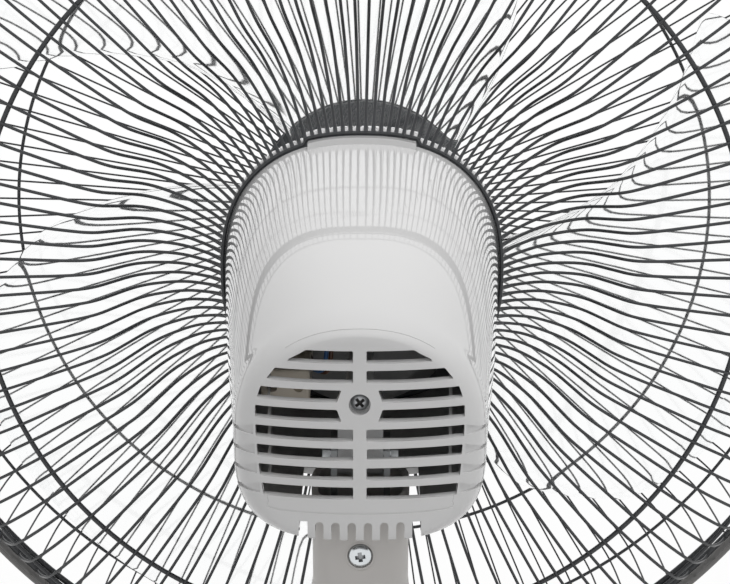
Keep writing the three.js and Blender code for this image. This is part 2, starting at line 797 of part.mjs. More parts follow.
const panelSlope = Math.atan2(PANEL_BACK[1] - PANEL_FRONT[1], PANEL_BACK[0] - PANEL_FRONT[0]);
const panelMiddle = [(PANEL_FRONT[0] + PANEL_BACK[0]) / 2, (PANEL_FRONT[1] + PANEL_BACK[1]) / 2];
const keyPlaces = () => KEY_NAMES.map((_, i) => FIRST_KEY_X + i * KEY_PITCH);

// The panel's own frame has x across, y up its slope and z out of it.
const panelFrame = new THREE.Matrix4()
  .makeTranslation(0, panelMiddle[0], panelMiddle[1])
  .multiply(new THREE.Matrix4().makeRotationX(panelSlope));
const onPanel = (body) => body.transform(panelFrame.elements);

// The panel's wedge on top of the base, trimmed to a circle at its front corners.
function panelSkin(inset) {
  const low = inset ? 0 : 12;
  const [y0, z0] = PANEL_FRONT;
  const [y1, z1] = PANEL_BACK;
  const slopeZ = (y) => z0 + (y - y0) * Math.tan(panelSlope) - inset / Math.cos(panelSlope);
  const profile = new THREE.Shape();
  profile.moveTo(y0 - 6 + inset, low);
  profile.lineTo(y0 - 6 + inset, z0 - 6);
  profile.quadraticCurveTo(y0 - 6 + inset, z0 - 2 - inset, y0 + inset, slopeZ(y0 + inset));
  profile.lineTo(y1, slopeZ(y1));
  profile.quadraticCurveTo(y1 + 8 - inset, z1 + 2.6 - inset, y1 + 12 - inset, z1 - 6 - inset);
  profile.lineTo(y1 + 22 - inset, low);
  const depth = 2 * (PANEL_HALF_WIDTH - inset);
  const g = new THREE.ExtrudeGeometry(profile, { depth, bevelEnabled: false, curveSegments: 4 });
  const [alongX, alongY, alongZ] = [0, 1, 2].map((i) => new THREE.Vector3().setComponent(i, 1));
  const turn = new THREE.Matrix4().makeBasis(alongY, alongZ, alongX);
  const wedge = solid(g.translate(0, 0, -depth / 2).applyMatrix4(turn));
  return wedge.intersect(rod("z", 124 - inset, -5, 90, [0, 0], BASE_SIDES));
}

const columnScrewPlaces = () => [-1, 1].map((side) => [0, SWING_Y + side * COLUMN_SCREW_OFFSET]);

function baseCover() {
  const outside = [
    [0, 3],
    [BASE_R, 3],
    [BASE_R, 11],
    [146, 22],
    [134, 32],
    [118, BASE_TOP],
    [0, BASE_TOP],
  ];
  const inside = [
    [0, 0],
    [BASE_R - WALL, 0],
    [BASE_R - WALL, 10],
    [143.6, 20.5],
    [132.6, 29.6],
    [117.4, BASE_TOP - WALL],
    [0, BASE_TOP - WALL],
  ];
  const [halfX, halfY] = KEY_HALF.map((half) => half + 0.4);
  const keyHoles = keyPlaces().map((x) => onPanel(box(x - halfX, x + halfX, -halfY, halfY, -20, 20)));
  const knobHole = onPanel(rod("z", 7, -20, 20, [KNOB_X, 0], 16));
  const inletHole = rod("y", 4.9, 130, 160, [0, INLET_Z]);
  const leadHole = rod("z", 9, 20, 50, [0, SWING_Y]);
  const screwHoles = columnScrewPlaces().map((p) => rod("z", 2.4, 20, 50, p, 8));
  const skin = union(turned("z", outside, BASE_SIDES), panelSkin(0));
  const shell = cut(skin, turned("z", inside, BASE_SIDES), panelSkin(WALL));
  return cut(shell, ...keyHoles, knobHole, inletHole, leadHole, ...screwHoles);
}

function weightPlate() {
  const holes = columnScrewPlaces().map((p) => rod("z", 6, 0, 10, p, 8));
  return cut(rod("z", 146, 3 + 2 * GAP, 6.6, [0, 0], BASE_SIDES), ...holes);
}

function foot(angle) {
  const [x, y] = polar(122, angle);
  const profile = [
    [0, 0],
    [11.4, 0],
    [12, 3.3],
    [0, 3.3],
  ];
  return turned("z", profile, 12).translate([x, y, 0]);
}

function cordInlet() {
  const collar = rod("y", 5.8, 139, 143.4, [0, INLET_Z]);
  const sleeve = rod("y", 4.5, 140, 149.4, [0, INLET_Z]);
  return cut(union(sleeve, collar), rod("y", 2.6, 130, 160, [0, INLET_Z], 8));
}

function key(x) {
  const [halfX, halfY] = KEY_HALF;
  const cap = box(x - halfX, x + halfX, -halfY, halfY, -3, 3.4);
  const crown = box(x - halfX + 1.4, x + halfX - 1.4, -halfY + 1.4, halfY - 1.4, 3.3, 4.2);
  return onPanel(union(cap, crown, box(x - 2, x + 2, -2, 2, -12, -2.9)));
}

// The key switches hang from the panel on a post at each end.
function switchBlock() {
  const [x0, x1] = [FIRST_KEY_X - 13, FIRST_KEY_X + (KEY_NAMES.length - 1) * KEY_PITCH + 13];
  const body = union(
    box(x0, x1, -8, 8, -22, -7),
    box(x0, x0 + 3.6, -8, 8, -8, -WALL - GAP),
    box(x1 - 3.6, x1, -8, 8, -8, -WALL - GAP),
  );
  return onPanel(cut(body, ...keyPlaces().map((x) => box(x - 2.4, x + 2.4, -2.4, 2.4, -17, 0))));
}

function timerKnob() {
  const profile = [
    [0, 1],
    [13, 1],
    [12.4, 9],
    [10.6, 11],
    [0, 11],
  ];
  const grip = turned("z", profile, 20).translate([KNOB_X, 0, 0]);
  const stem = rod("z", 3, -12, 1.1, [KNOB_X, 0]);
  const flutes = turns(6).map((a) => {
    const [x, y] = polar(13.6, a);
    return rod("z", 2, 3, 20, [KNOB_X + x, y], 6);
  });
  const pointer = box(KNOB_X - 0.8, KNOB_X + 0.8, 3.5, 9.6, 10.2, 14);
  return onPanel(cut(union(grip, stem), ...flutes, pointer));
}

function timerModule() {
  const can = rod("z", 14, -22, -WALL - GAP, [KNOB_X, 0], 20);
  return onPanel(can.subtract(rod("z", 3.4, -13, 0, [KNOB_X, 0])));
}

function columnSkin(inset) {
  const stations = [
    { z: BASE_TOP + 0.4, halfX: 46, halfY: 44 },
    { z: 42, halfX: 44, halfY: 42.5 },
    { z: 56, halfX: 33, halfY: 36.5 },
    { z: 84, halfX: 28.5, halfY: 31.5 },
    { z: COLUMN_TOP, halfX: 27.5, halfY: 29.5 },
  ];
  const rings = stations.map(({ z, halfX, halfY }) => {
    const exponent = mix(2.6, NECK_POWER, smooth((z - 42) / 60));
    return levelRing(z, halfX - inset, SWING_Y, halfY - inset, exponent, 20);
  });
  if (inset) {
    rings.unshift(rings[0].map((p) => p.clone().setZ(0)));
    rings.push(rings.at(-1).map((p) => p.clone().setZ(COLUMN_TOP + 20)));
  }
  return loft(rings);
}

// A half of the column, with its screw boss inside the foot.
function columnShell(side) {
  const edge = SWING_Y + (side * GAP) / 2;
  const half = side < 0 ? box(-80, 80, -20, edge, 0, 300) : box(-80, 80, edge, 160, 0, 300);
  const place = [0, SWING_Y + side * COLUMN_SCREW_OFFSET];
  const boss = rod("z", 5, BASE_TOP + 0.4, 58, place).intersect(columnSkin(0));
  const shell = cut(columnSkin(0), columnSkin(WALL)).intersect(half);
  return cut(union(shell, boss), rod("z", 2.3, 20, 54, place, 8));
}

// The bearing plate closes the column's top inside its walls, and carries the swinging neck.
function swingBearing() {
  const [halfX, halfY] = [27.5 - WALL - GAP, 29.5 - WALL - GAP];
  const rings = [194, COLUMN_TOP - 0.4].map((z) => levelRing(z, halfX, SWING_Y, halfY, NECK_POWER, 20));
  return cut(loft(rings), rod("z", 9.4, 150, 240, [0, SWING_Y], 12));
}

function swingMotor() {
  const can = rod("z", 22, 158, 178, [0, SWING_Y], 20);
  const ears = box(-24.4, 24.4, SWING_Y - 5, SWING_Y + 5, 176, 178);
  return cut(union(can, ears), rod("z", 5, 166, 200, [0, SWING_Y]));
}

// The flange above the bearing seats the neck, and the one below it keeps the neck from lifting.
function swingShaft() {
  const top = AXIS_HEIGHT + FORK_FLOOR - GAP;
  const profile = [
    [0, 167],
    [4.6, 167],
    [4.6, 180],
    [12, 180],
    [12, 193.6],
    [9, 193.6],
    [9, COLUMN_TOP],
    [15.6, COLUMN_TOP],
    [15.6, top],
    [5.6, top],
    [5.6, top + 5],
    [0, top + 5],
  ];
  return turned("z", profile, 12).translate([0, SWING_Y, 0]);
}

// ---------------------------------------------------------------- assembly

const fan = new THREE.Group();
const head = new THREE.Group();
head.position.set(0, HEAD_Y, AXIS_HEIGHT);
fan.add(head);

function place(group, name, body, material) {
  const mesh = new THREE.Mesh(geometryOf(body), material);
  mesh.name = name;
  group.add(mesh);
  return mesh;
}

// Housing and guards
place(head, "motor_housing", rearHousing(), gloss);
place(head, "motor_front_cover", frontCover(), gloss);
place(head, "rear_guard", rearGuard(), guardGrey);
place(head, "front_guard", frontGuard(), guardGrey);
place(head, "guard_mount_plate", guardPlate(), darkPlastic);
place(head, "guard_rim_band", rimBand(), darkPlastic);
place(head, "front_badge", badge(), darkPlastic);
place(head, "badge_backing", badgeBacking(), darkPlastic);

const rimScrew = place(head, "rim_screw", screw(3.4, 2.4, 2, 19), zinc);
rimScrew.rotation.z = -Math.PI / 2;
rimScrew.position.set(7 + GAP, ...earAxis);
const rimNut = cut(rod("x", 3.4, -10.6, -7 - GAP, earAxis, 6), rod("x", 2.3, -20, 20, earAxis, 8));
place(head, "rim_nut", rimNut, zinc);

const housingScrew = place(head, "housing_screw", screw(3.6, 2.6, 2, 48), zinc);
housingScrew.position.set(0, HOUSING_BACK + 5 + GAP, BACK_SCREW_Z);
plateScrewPlaces().forEach(([x, z], i) => {
  const mesh = place(head, `plate_screw_${i + 1}`, screw(4, 2.4, 2, 12), zinc);
  mesh.rotation.x = Math.PI;
  mesh.position.set(x, PLATE_FRONT - GAP, z);
});

// Motor
const stack = ringProfile(20.6, MOTOR_R, STACK_FRONT + GAP, STACK_BACK - GAP);
place(head, "motor_front_shield", frontShield(), castMetal);
place(head, "motor_rear_shield", rearShield(), castMetal);
place(head, "stator_core", turned("y", stack, 20), steel);
place(head, "stator_winding_front", winding(20.6, STACK_FRONT), copper);
place(head, "stator_winding_rear", winding(STACK_BACK, 63.4), copper);
place(head, "front_bearing", turned("y", ringProfile(SHAFT_R + GAP, BEARING_R, 9.5, 19.5), 12), bronze);
place(head, "rear_bearing", turned("y", ringProfile(SHAFT_R + GAP, BEARING_R, 64.5, 73.5), 12), bronze);
place(head, "run_capacitor", box(-14, 14, REAR_SEAT + GAP, 86, 15, 32), beige);
place(head, "motor_leads", motorLeads(), blue);
place(head, "tilt_lug", tiltLug(), castMetal);

// Rotor
place(head, "motor_shaft", rod("y", SHAFT_R, -96, 80), zinc);
place(head, "rotor_core", turned("y", ringProfile(SHAFT_R + GAP, 20, 31, 53), 16), steel);
place(head, "impeller", impeller(), clearPlastic);
place(head, "blade_nut", bladeNut(), darkPlastic);

// Neck
place(head, "neck_front", neckFront(), satin);
place(head, "neck_rear", neckRear(), satin);
place(head, "tilt_fork", tiltFork(), steel);
place(head, "tilt_pin", tiltPin(), zinc);
place(head, "tilt_nut", tiltNut(), zinc);
place(head, "neck_screw", screw(4.8, 3, 1.6, 39), zinc).position.set(0, NECK_BACK - 0.9, NECK_SCREW_Z);
place(fan, "swing_shaft", swingShaft(), steel);

// Stand
place(fan, "base_cover", baseCover(), gloss);
place(fan, "base_weight", weightPlate(), steel);
turns(4, 0.5).forEach((angle, i) => place(fan, `foot_${i + 1}`, foot(angle), rubber));
place(fan, "column_front", columnShell(-1), gloss);
place(fan, "column_rear", columnShell(1), gloss);
columnScrewPlaces().forEach(([x, y], i) => {
  const mesh = place(fan, `column_screw_${i + 1}`, screw(4, 2.4, 2, 18), zinc);
  mesh.rotation.x = -Math.PI / 2;
  mesh.position.set(x, y, BASE_TOP - WALL - GAP);
});
place(fan, "swing_bearing", swingBearing(), darkPlastic);
place(fan, "swing_motor", swingMotor(), steel);
place(fan, "key_switch_block", switchBlock(), darkPlastic);
place(fan, "timer_module", timerModule(), darkPlastic);
place(fan, "cord_inlet", cordInlet(), rubber);
keyPlaces().forEach((x, i) => place(fan, `key_${KEY_NAMES[i]}`, key(x), i ? satin : darkPlastic));
place(fan, "timer_knob", timerKnob(), satin);

export default fan;
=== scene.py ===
import math

import bmesh
import bpy
import numpy as np
from mathutils import Matrix, Vector


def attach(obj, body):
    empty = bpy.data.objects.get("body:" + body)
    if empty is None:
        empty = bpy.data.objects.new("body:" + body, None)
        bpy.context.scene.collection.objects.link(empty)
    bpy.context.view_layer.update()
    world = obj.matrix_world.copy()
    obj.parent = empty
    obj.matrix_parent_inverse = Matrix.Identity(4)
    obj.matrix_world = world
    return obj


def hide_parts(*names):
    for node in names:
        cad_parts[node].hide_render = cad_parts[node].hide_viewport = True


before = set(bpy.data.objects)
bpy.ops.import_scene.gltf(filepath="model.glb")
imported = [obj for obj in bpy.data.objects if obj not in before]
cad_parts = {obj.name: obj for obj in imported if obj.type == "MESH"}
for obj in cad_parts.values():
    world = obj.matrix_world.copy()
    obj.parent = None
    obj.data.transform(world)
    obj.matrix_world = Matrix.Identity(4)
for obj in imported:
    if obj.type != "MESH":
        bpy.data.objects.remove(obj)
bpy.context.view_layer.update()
scene = bpy.context.scene

# Shapes are worked out in millimetres and stored in metres. The head's shapes are drawn in its own
# frame, with x across, y to the rear and z up from the fan axis, and moved to HEAD.
MM = 0.001
GAP = 0.3
WALL = 2.6
WELD = 0.002
AXIS_HEIGHT = 345
HEAD_Y = -30
SWING_Y = 70
HEAD = (0, HEAD_Y, AXIS_HEIGHT)
STAND = (0, 0, 0)

GUARD_WIRES = 120
REAR_WIRE_RADIUS = 0.72
WIRE_FOOT = 0.35
FOOT_FADE = (62, 70)
FRONT_WIRE_RADIUS = 0.45
RIM_R = 226
RIM_BOLT = (-58.5, -RIM_R - 8.2)
MAIN_RING_R = 169
SIDE_RING_R = 209
FRONT_RING_R = 165
FRONT_EDGE_R = 215
BADGE_R = 52

RIM_HALF_WIDTH = 60
RIM_TOP = 58.6
RIM_BOTTOM = -62
RIM_POWER = 2.4
HOUSING_FRONT = 6.5
HOUSING_BACK = 136
HOUSING_ROUND = 10
FACE_DEPTH = HOUSING_BACK + HOUSING_ROUND
BULGE_START = 50
EDGE_SHARE = 0.25
FACE_BULGE = 10
FACE_HALF_WIDTH = 50.5
HOUSING_BOTTOM = -74
LIP_HALF_WIDTH = 23.4
LIP_RISE = 2.2

SLOT_ROWS = 8
SLOT_PITCH = 8
SLOT_HEIGHT = 4.2
SLOT_DATUM = -20.2
SLOT_HALF_WIDTH = 41
SLOT_ARCH = 30.3
SPINE_HALF_WIDTH = 2.8
BACK_SCREW_Z = -15.8
GROOVE_DEPTH = 1.1
COMB_SLOTS = 6
COMB_PITCH = 6.4
COMB_WIDTH = 3.3
COMB_TOP = -64.8
NOTCH_INNER = 20.7
NOTCH_OUTER = 24.2
OPENING_FRONT = 64
OPENING_BACK = 131

PLATE_FRONT = 3.9
PLATE_SCREW_R = 36.5
SHAFT_R = 4
BEARING_R = 7.1
MOTOR_R = 42
SHIELD_BORE = 38
STACK_FRONT = 30
STACK_BACK = 54
REAR_SEAT = 70
BLADES = 3
BLADE_TIP_R = 200
HUB_R = 34
HUB_FRONT = -84
HUB_BACK = -36

LUG_HALF = 9.2
NECK_FRONT = 78
NECK_BACK = 122
NECK_TOP = -64
NECK_FOOT = -138.5
NECK_POWER = 4.5
NECK_SCREW_Z = -88

BASE_R = 150
BASE_TOP = 36
COLUMN_TOP = 205
COLUMN_SCREW_OFFSET = 35
PANEL_FRONT = (-121, 31.6)
PANEL_BACK = (-50, 58.4)
PANEL_HALF_WIDTH = 80
KEY_NAMES = ("off", "low", "medium", "high", "swing")
KEY_STROKES = (1, 1, 2, 3, 1)
KEY_PITCH = 21.5
FIRST_KEY_X = -64
KEY_HALF = (9, 7.5)
KNOB_X = 56
INK_DEPTH = (0.02, 0.09)
INLET_Z = 13.3


# ---------------------------------------------------------------- node trees


def pick(sockets, key):
    """A socket by its number, or the first one in use by its name."""
    if isinstance(key, int):
        return sockets[key]
    return next(s for s in sockets if s.name == key and s.enabled)


def operator(operation, reflected=False):
    def method(self, other):
        terms = (other, self) if reflected else (self, other)
        return self.tree.maths(operation, *terms)

    return method


class Value:
    """A socket whose arithmetic adds Math nodes to its tree."""

    def __init__(self, tree, socket):
        self.tree = tree
        self.socket = socket

    __add__ = operator("ADD")
    __radd__ = operator("ADD", True)
    __sub__ = operator("SUBTRACT")
    __rsub__ = operator("SUBTRACT", True)
    __mul__ = operator("MULTIPLY")
    __rmul__ = operator("MULTIPLY", True)
    __truediv__ = operator("DIVIDE")
    __rtruediv__ = operator("DIVIDE", True)
    __pow__ = operator("POWER")

    def __abs__(self):
        return self.tree.maths("ABSOLUTE", self)

    def output(self, key):
        """Another output of the node that this value comes from."""
        return Value(self.tree, pick(self.socket.node.outputs, key))


class Tree:
    """One node tree, and the one way in which nodes are added to it."""

    def __init__(self, nodes):
        self.nodes = nodes

    def feed(self, socket, value):
        if isinstance(value, Value):
            self.nodes.links.new(value.socket, socket)
        else:
            socket.default_value = value

    def add(self, kind, settings=None, inputs=None, output=0):
        node = self.nodes.nodes.new(kind)
        for name, value in (settings or {}).items():
            if name == "stops":
                for element, (place, colour) in zip(node.color_ramp.elements, value):
                    element.position = place
                    element.color = colour
            else:
                setattr(node, name, value)
        for key, value in (inputs or {}).items():
            self.feed(pick(node.inputs, key), value)
        return Value(self, pick(node.outputs, output)) if node.outputs else node

    def maths(self, operation, *terms):
        return self.add("ShaderNodeMath", {"operation": operation}, dict(enumerate(terms)))

    def length(self, x, y):
        return self.maths("SQRT", x * x + y * y)

    def smooth(self, value, low, high):
        """Rises smoothly from 0 at low to 1 at high."""
        inputs = {"Value": value, "From Min": low, "From Max": high}
        return self.add("ShaderNodeMapRange", {"interpolation_type": "SMOOTHSTEP"}, inputs)

    def noise(self, where, scale, detail=2.0, roughness=0.5):
        inputs = {"Vector": where, "Scale": scale, "Detail": detail, "Roughness": roughness}
        return self.add("ShaderNodeTexNoise", {}, inputs)

    def blend(self, factor, first, second):
        inputs = {"Factor": factor, "A": first, "B": second}
        return self.add("ShaderNodeMix", {"data_type": "RGBA"}, inputs, "Result")

    def bump(self, height, strength, distance):
        inputs = {"Height": height, "Strength": strength, "Distance": distance}
        return self.add("ShaderNodeBump", {}, inputs)

    def split(self, vector):
        parts = self.add("ShaderNodeSeparateXYZ", {}, {0: vector})
        return [parts.output(axis) for axis in "XYZ"]


# ---------------------------------------------------------------- finishes


def tone(colour, share):
    return (*(min(1.0, c * share) for c in colour), 1.0)


def surface(name, shade, **constants):
    """A Principled finish. shade gives its varying inputs from the tree and Object coordinates."""
    material = bpy.data.materials.new(name)
    material.use_nodes = True
    tree = Tree(material.node_tree)
    shader = material.node_tree.nodes["Principled BSDF"]
    where = tree.add("ShaderNodeTexCoord", output="Object")
    for key, value in {**constants, **shade(tree, where)}.items():
        tree.feed(shader.inputs[key.replace("_", " ")], value)
    return material


def moulding(name, colour, gloss, spread=0.04, **constants):
    """Injection-moulded plastic: faint clouding, uneven gloss and orange peel."""

    def shade(tree, where):
        cloud = tree.noise(where, 14.0, 3.0)
        speck = tree.noise(where, 900.0, 1.0)
        patch = tree.noise(where, 60.0, 2.0)
        peel = tree.noise(where, 180.0, 2.0)
        return {
            "Base Color": tree.blend(cloud, tone(colour, 0.965), tone(colour, 1.03)),
            "Roughness": gloss + (patch - 0.5) * spread + (speck - 0.5) * spread * 0.5,
            "Normal": tree.bump(peel, 0.35, 0.00004),
        }

    return surface(name, shade, **constants)


def textured(name, colour, gloss, texture, **constants):
    """A colour that clouds between two shades, and a grain that roughens and embosses it."""

    def shade(tree, where):
        along = where
        if "stretch" in texture:
            drawn = {"Vector": where, "Scale": texture["stretch"]}
            along = tree.add("ShaderNodeMapping", {}, drawn)
        cloud = tree.noise(where, *texture["stain"])
        grit = tree.noise(along, *texture["grain"])
        rough = gloss + (grit - 0.5) * texture["uneven"]
        if "blotch" in texture:
            rough = rough + (cloud - 0.5) * texture["blotch"]
        return {
            "Base Color": tree.blend(cloud, *(tone(colour, share) for share in texture["shades"])),
            "Roughness": rough,
            "Normal": tree.bump(grit, *texture["relief"]),
        }

    return surface(name, shade, **constants)


def wound_copper(copper):
    """Varnished magnet wire, laid in turns round the fan axis. Its colour darkens into the grooves
    between the turns, a painted shade, and lightens along their crowns, a painted highlight.
    """
    wires_per_metre = 9000.0

    def shade(tree, where):
        x, y, z = tree.split(where)
        height = z - AXIS_HEIGHT * MM
        radius = tree.length(x, height)
        turn = tree.maths("SINE", radius * wires_per_metre + tree.noise(where, 90.0) * 3.0)
        row = tree.maths("SINE", y * wires_per_metre)
        # The colour follows this groove pattern: painted shade between the turns, painted highlight
        # on their crowns.
        wire = (turn + row) * 0.25 + 0.5
        return {
            "Base Color": tree.blend(wire, tone(copper, 0.45), tone(copper, 1.3)),
            "Roughness": 0.3 + wire * 0.1,
            "Normal": tree.bump(wire, 0.8, 0.0004),
        }

    return surface("wound_copper", shade, Metallic=0.7)


def clear_styrene():
    """Clear blade plastic: smooth, with a faint swirl from the mould."""

    def shade(tree, where):
        swirl = tree.noise(where, 18.0, 2.0)
        return {
            "Base Color": tree.blend(swirl, (0.98, 0.99, 0.99, 1), (1, 1, 1, 1)),
            "Roughness": 0.03 + swirl * 0.03,
            "Normal": tree.bump(tree.noise(where, 60.0), 0.05, 0.00005),
        }

    return surface("clear_blade_plastic", shade, Transmission_Weight=1.0, IOR=1.5)


# Textures. A stain and a grain are noises, by their scale, detail and roughness. The stain clouds
# the colour between two shades, and the grain is embossed with a strength and a depth. Roughness
# follows the grain by the uneven share, and the stain by the blotch.
SPARKED = {
    "stain": (22, 3),
    "shades": (0.94, 1.05),
    "grain": (1300, 3, 0.65),
    "uneven": 0.16,
    "relief": (0.5, 0.00008),
}
FINELY_SPARKED = {**SPARKED, "grain": (1700, 3, 0.65), "relief": (0.5, 0.00004)}
POWDER_COATED = {
    "stain": (55, 3),
    "shades": (0.8, 1.35),
    "grain": (1100, 2),
    "uneven": 0.2,
    "blotch": 0.1,
    "relief": (0.3, 0.00005),
}
PLATED = {
    "stain": (160, 3),
    "shades": (0.85, 1.06),
    "grain": (1, 3),
    "stretch": (60, 900, 60),
    "uneven": 0.14,
    "blotch": 0.1,
    "relief": (0.15, 0.00002),
}
CAST = {
    "stain": (40, 3),
    "shades": (0.8, 1.12),
    "grain": (700, 4, 0.7),
    "uneven": 0.25,
    "relief": (0.5, 0.00015),
}
SINTERED = {
    "stain": (1500, 3, 0.7),
    "shades": (0.75, 1.15),
    "grain": (1500, 3, 0.7),
    "uneven": 0.2,
    "relief": (0.3, 0.00008),
}
RUBBERY = {
    "stain": (30, 3),
    "shades": (0.68, 1.32),
    "grain": (800, 3, 0.7),
    "uneven": 0.15,
    "relief": (0.4, 0.0001),
}

WHITE = (0.665, 0.663, 0.662)
GLOSS = moulding("housing_gloss", WHITE, 0.05, spread=0.02, IOR=1.6, Coat_Weight=1.0)
SATIN = textured("neck_satin", (0.71, 0.685, 0.66), 0.42, SPARKED)
KEYCAP = textured("key_satin", (0.72, 0.72, 0.72), 0.36, FINELY_SPARKED)
WIRE = textured("wire_powder_coat", (0.034, 0.036, 0.039), 0.38, POWDER_COATED)
DARK = textured("dark_satin", (0.055, 0.06, 0.065), 0.42, SPARKED)
BAND = moulding("rim_band_grey", (0.16, 0.155, 0.15), 0.3)
BADGE = textured("badge_dark", (0.044, 0.047, 0.051), 0.4, {**SPARKED, "grain": (1600, 3, 0.65)})
CLEAR = clear_styrene()
ZINC = textured("bright_zinc", (0.72, 0.75, 0.77), 0.2, PLATED, Metallic=1.0)
STEEL = textured("bare_steel", (0.36, 0.37, 0.38), 0.38, PLATED, Metallic=1.0)
ALLOY = textured("cast_alloy", (0.7, 0.705, 0.71), 0.5, CAST, Metallic=0.35)
# A darker copy of the cast alloy: painted shade for the rear shield's dish inside the housing.
SHADED_ALLOY = textured("shield_alloy_painted_shade", (0.26, 0.262, 0.266), 0.5, CAST, Metallic=0.35)
COPPER = wound_copper((0.33, 0.12, 0.045))
BRONZE = textured("sintered_bronze", (0.42, 0.27, 0.12), 0.42, SINTERED, Metallic=1.0)
RUBBER = textured("foot_rubber", (0.0265, 0.0265, 0.0275), 0.82, RUBBERY)
BEIGE = textured("capacitor_case", (0.78, 0.71, 0.6), 0.45, SPARKED)
LEAD_BLUE = moulding("lead_blue", (0.045, 0.14, 0.36), 0.34)
LEAD_BROWN = moulding("lead_brown", (0.12, 0.05, 0.025), 0.36)
INK = moulding("panel_ink", (0.1, 0.1, 0.105), 0.5)
# Painted shade: a near-black finish for the sunk faces of the housing screw's cross recess.
RECESS_SHADE = textured("recess_painted_shade", (0.05, 0.048, 0.046), 0.7, SPARKED)


# ---------------------------------------------------------------- meshes


def turns(count, phase=0.0):
    return (np.arange(count) + phase) * (2 * math.pi / count)


def polar(radius, angle):
    return radius * math.cos(angle), radius * math.sin(angle)


def smoothstep(t):
    t = np.clip(t, 0, 1)
    return t * t * (3 - 2 * t)


def mix(a, b, t):
    return a + (b - a) * t


def signed_power(value, exponent):
    return np.sign(value) * np.abs(value) ** exponent


def shade_by_angle(mesh, crease):
    mesh.polygons.foreach_set("use_smooth", [True] * len(mesh.polygons))
    mesh.set_sharp_from_angle(angle=math.radians(crease))


def make(name, points, faces, material, at=STAND, crease=32):
    """A mesh from points in millimetres, with its doubles merged and its faces turned outwards."""
    mesh = bpy.data.meshes.new(name)
    places = (np.asarray(points, float) + np.asarray(at, float)) * MM
    mesh.from_pydata(places.tolist(), [], faces)
    mesh.materials.append(material)
    work = bmesh.new()
    work.from_mesh(mesh)
    bmesh.ops.remove_doubles(work, verts=work.verts, dist=WELD * MM)
    bmesh.ops.recalc_face_normals(work, faces=work.faces)
    work.to_mesh(mesh)
    work.free()
    shade_by_angle(mesh, crease)
    obj = bpy.data.objects.new(name, mesh)
    scene.collection.objects.link(obj)
    return obj


def baked(obj, crease=32):
    """Works an object's modifiers into its mesh."""
    depsgraph = bpy.context.evaluated_depsgraph_get()
    mesh = bpy.data.meshes.new_from_object(obj.evaluated_get(depsgraph))
    obj.modifiers.clear()
    obj.data = mesh
    shade_by_angle(mesh, crease)
    return obj


def combine(obj, tools, operation, crease):
    """Works tools into an object one by one, and uses them up."""
    for tool in tools:
        step = obj.modifiers.new(operation.lower(), "BOOLEAN")
        step.operation = operation
        step.solver = "EXACT"
        step.object = tool
    material = obj.data.materials[0]
    baked(obj, crease)
    obj.data.materials.clear()
    obj.data.materials.append(material)
    obj.data.polygons.foreach_set("material_index", [0] * len(obj.data.polygons))
    for tool in tools:
        bpy.data.objects.remove(tool)
    return obj


def carve(obj, *tools, crease=32):
    return combine(obj, tools, "DIFFERENCE", crease)


def unite(obj, *tools, crease=32):
    return combine(obj, tools, "UNION", crease)


def trim(obj, *tools, crease=32):
    return combine(obj, tools, "INTERSECT", crease)


def bevel(obj, width, segments=3, angle=40, crease=32):
    step = obj.modifiers.new("round", "BEVEL")
    step.width = width * MM
    step.segments = segments
    step.limit_method = "ANGLE"
    step.angle_limit = math.radians(angle)
    step.use_clamp_overlap = True
    return baked(obj, crease)


def joined(name, *objects):
    """Several objects of one finish as one."""
    work = bmesh.new()
    materials = []
    for obj in objects:
        first = len(work.faces)
        work.from_mesh(obj.data)
        work.faces.ensure_lookup_table()
        for face in work.faces[first:]:
            face.material_index = len(materials)
        materials.append(obj.data.materials[0])
    mesh = bpy.data.meshes.new(name)
    work.to_mesh(mesh)
    work.free()
    for material in materials:
        mesh.materials.append(material)
    result = bpy.data.objects.new(name, mesh)
    scene.collection.objects.link(result)
    for obj in objects:
        bpy.data.objects.remove(obj)
    return result


def loft(name, rings, material, at=STAND, loop=False, crease=32):
    """Closed rings of equal count joined in order, and closed at the ends or into a loop."""
    rings = np.asarray(rings, float)
    rows, count = rings.shape[:2]
    faces = []
    for k in range(rows if loop else rows - 1):
        below, above = k * count, ((k + 1) % rows) * count
        for i in range(count):
            j = (i + 1) % count
            faces.append((below + i, below + j, above + j, above + i))
    if not loop:
        faces.append(tuple(range(count)))
        faces.append(tuple(range((rows - 1) * count, rows * count)))
    return make(name, rings.reshape(-1, 3), faces, material, at, crease)


def on_axis(axis, first, second, level):
    """Points at a level along an axis, with their other two coordinates on the other two axes."""
    columns = [first, second]
    columns.insert("xyz".index(axis), np.full(len(first), float(level)))
    return np.stack(columns, 1)


def lathe(name, profile, material, at=STAND, axis="y", sides=64, loop=False, crease=32):
    """A profile of (radius, height) points turned about an axis, which ends on it or is a loop."""
    angles = turns(sides)
    rings = [on_axis(axis, r * np.cos(angles), r * np.sin(angles), level) for r, level in profile]
    return loft(name, rings, material, at, loop, crease)


def rounded(points, radius, steps=4, loop=False):
    """A polyline with its corners rounded, as far as its short sides let it."""
    points = [np.asarray(p, float) for p in points]
    count = len(points)
    result = []
    for i, corner in enumerate(points):
        if not loop and i in (0, count - 1):
            result.append(corner)
            continue
        before, after = points[i - 1], points[(i + 1) % count]
        into, out = before - corner, after - corner
        reach = min(radius, np.linalg.norm(into) * 0.45, np.linalg.norm(out) * 0.45)
        start = corner + into / np.linalg.norm(into) * reach
        end = corner + out / np.linalg.norm(out) * reach
        for t in np.linspace(0, 1, steps + 1):
            result.append((1 - t) ** 2 * start + 2 * t * (1 - t) * corner + t * t * end)
    return result


def prism(name, outline, start, end, material, axis="y", crease=32):
    """An outline extruded along an axis. Its two coordinates are the other two axes."""
    first, second = np.asarray(outline, float).T
    rings = [on_axis(axis, first, second, level) for level in (start, end)]
    return loft(name, rings, material, crease=crease)


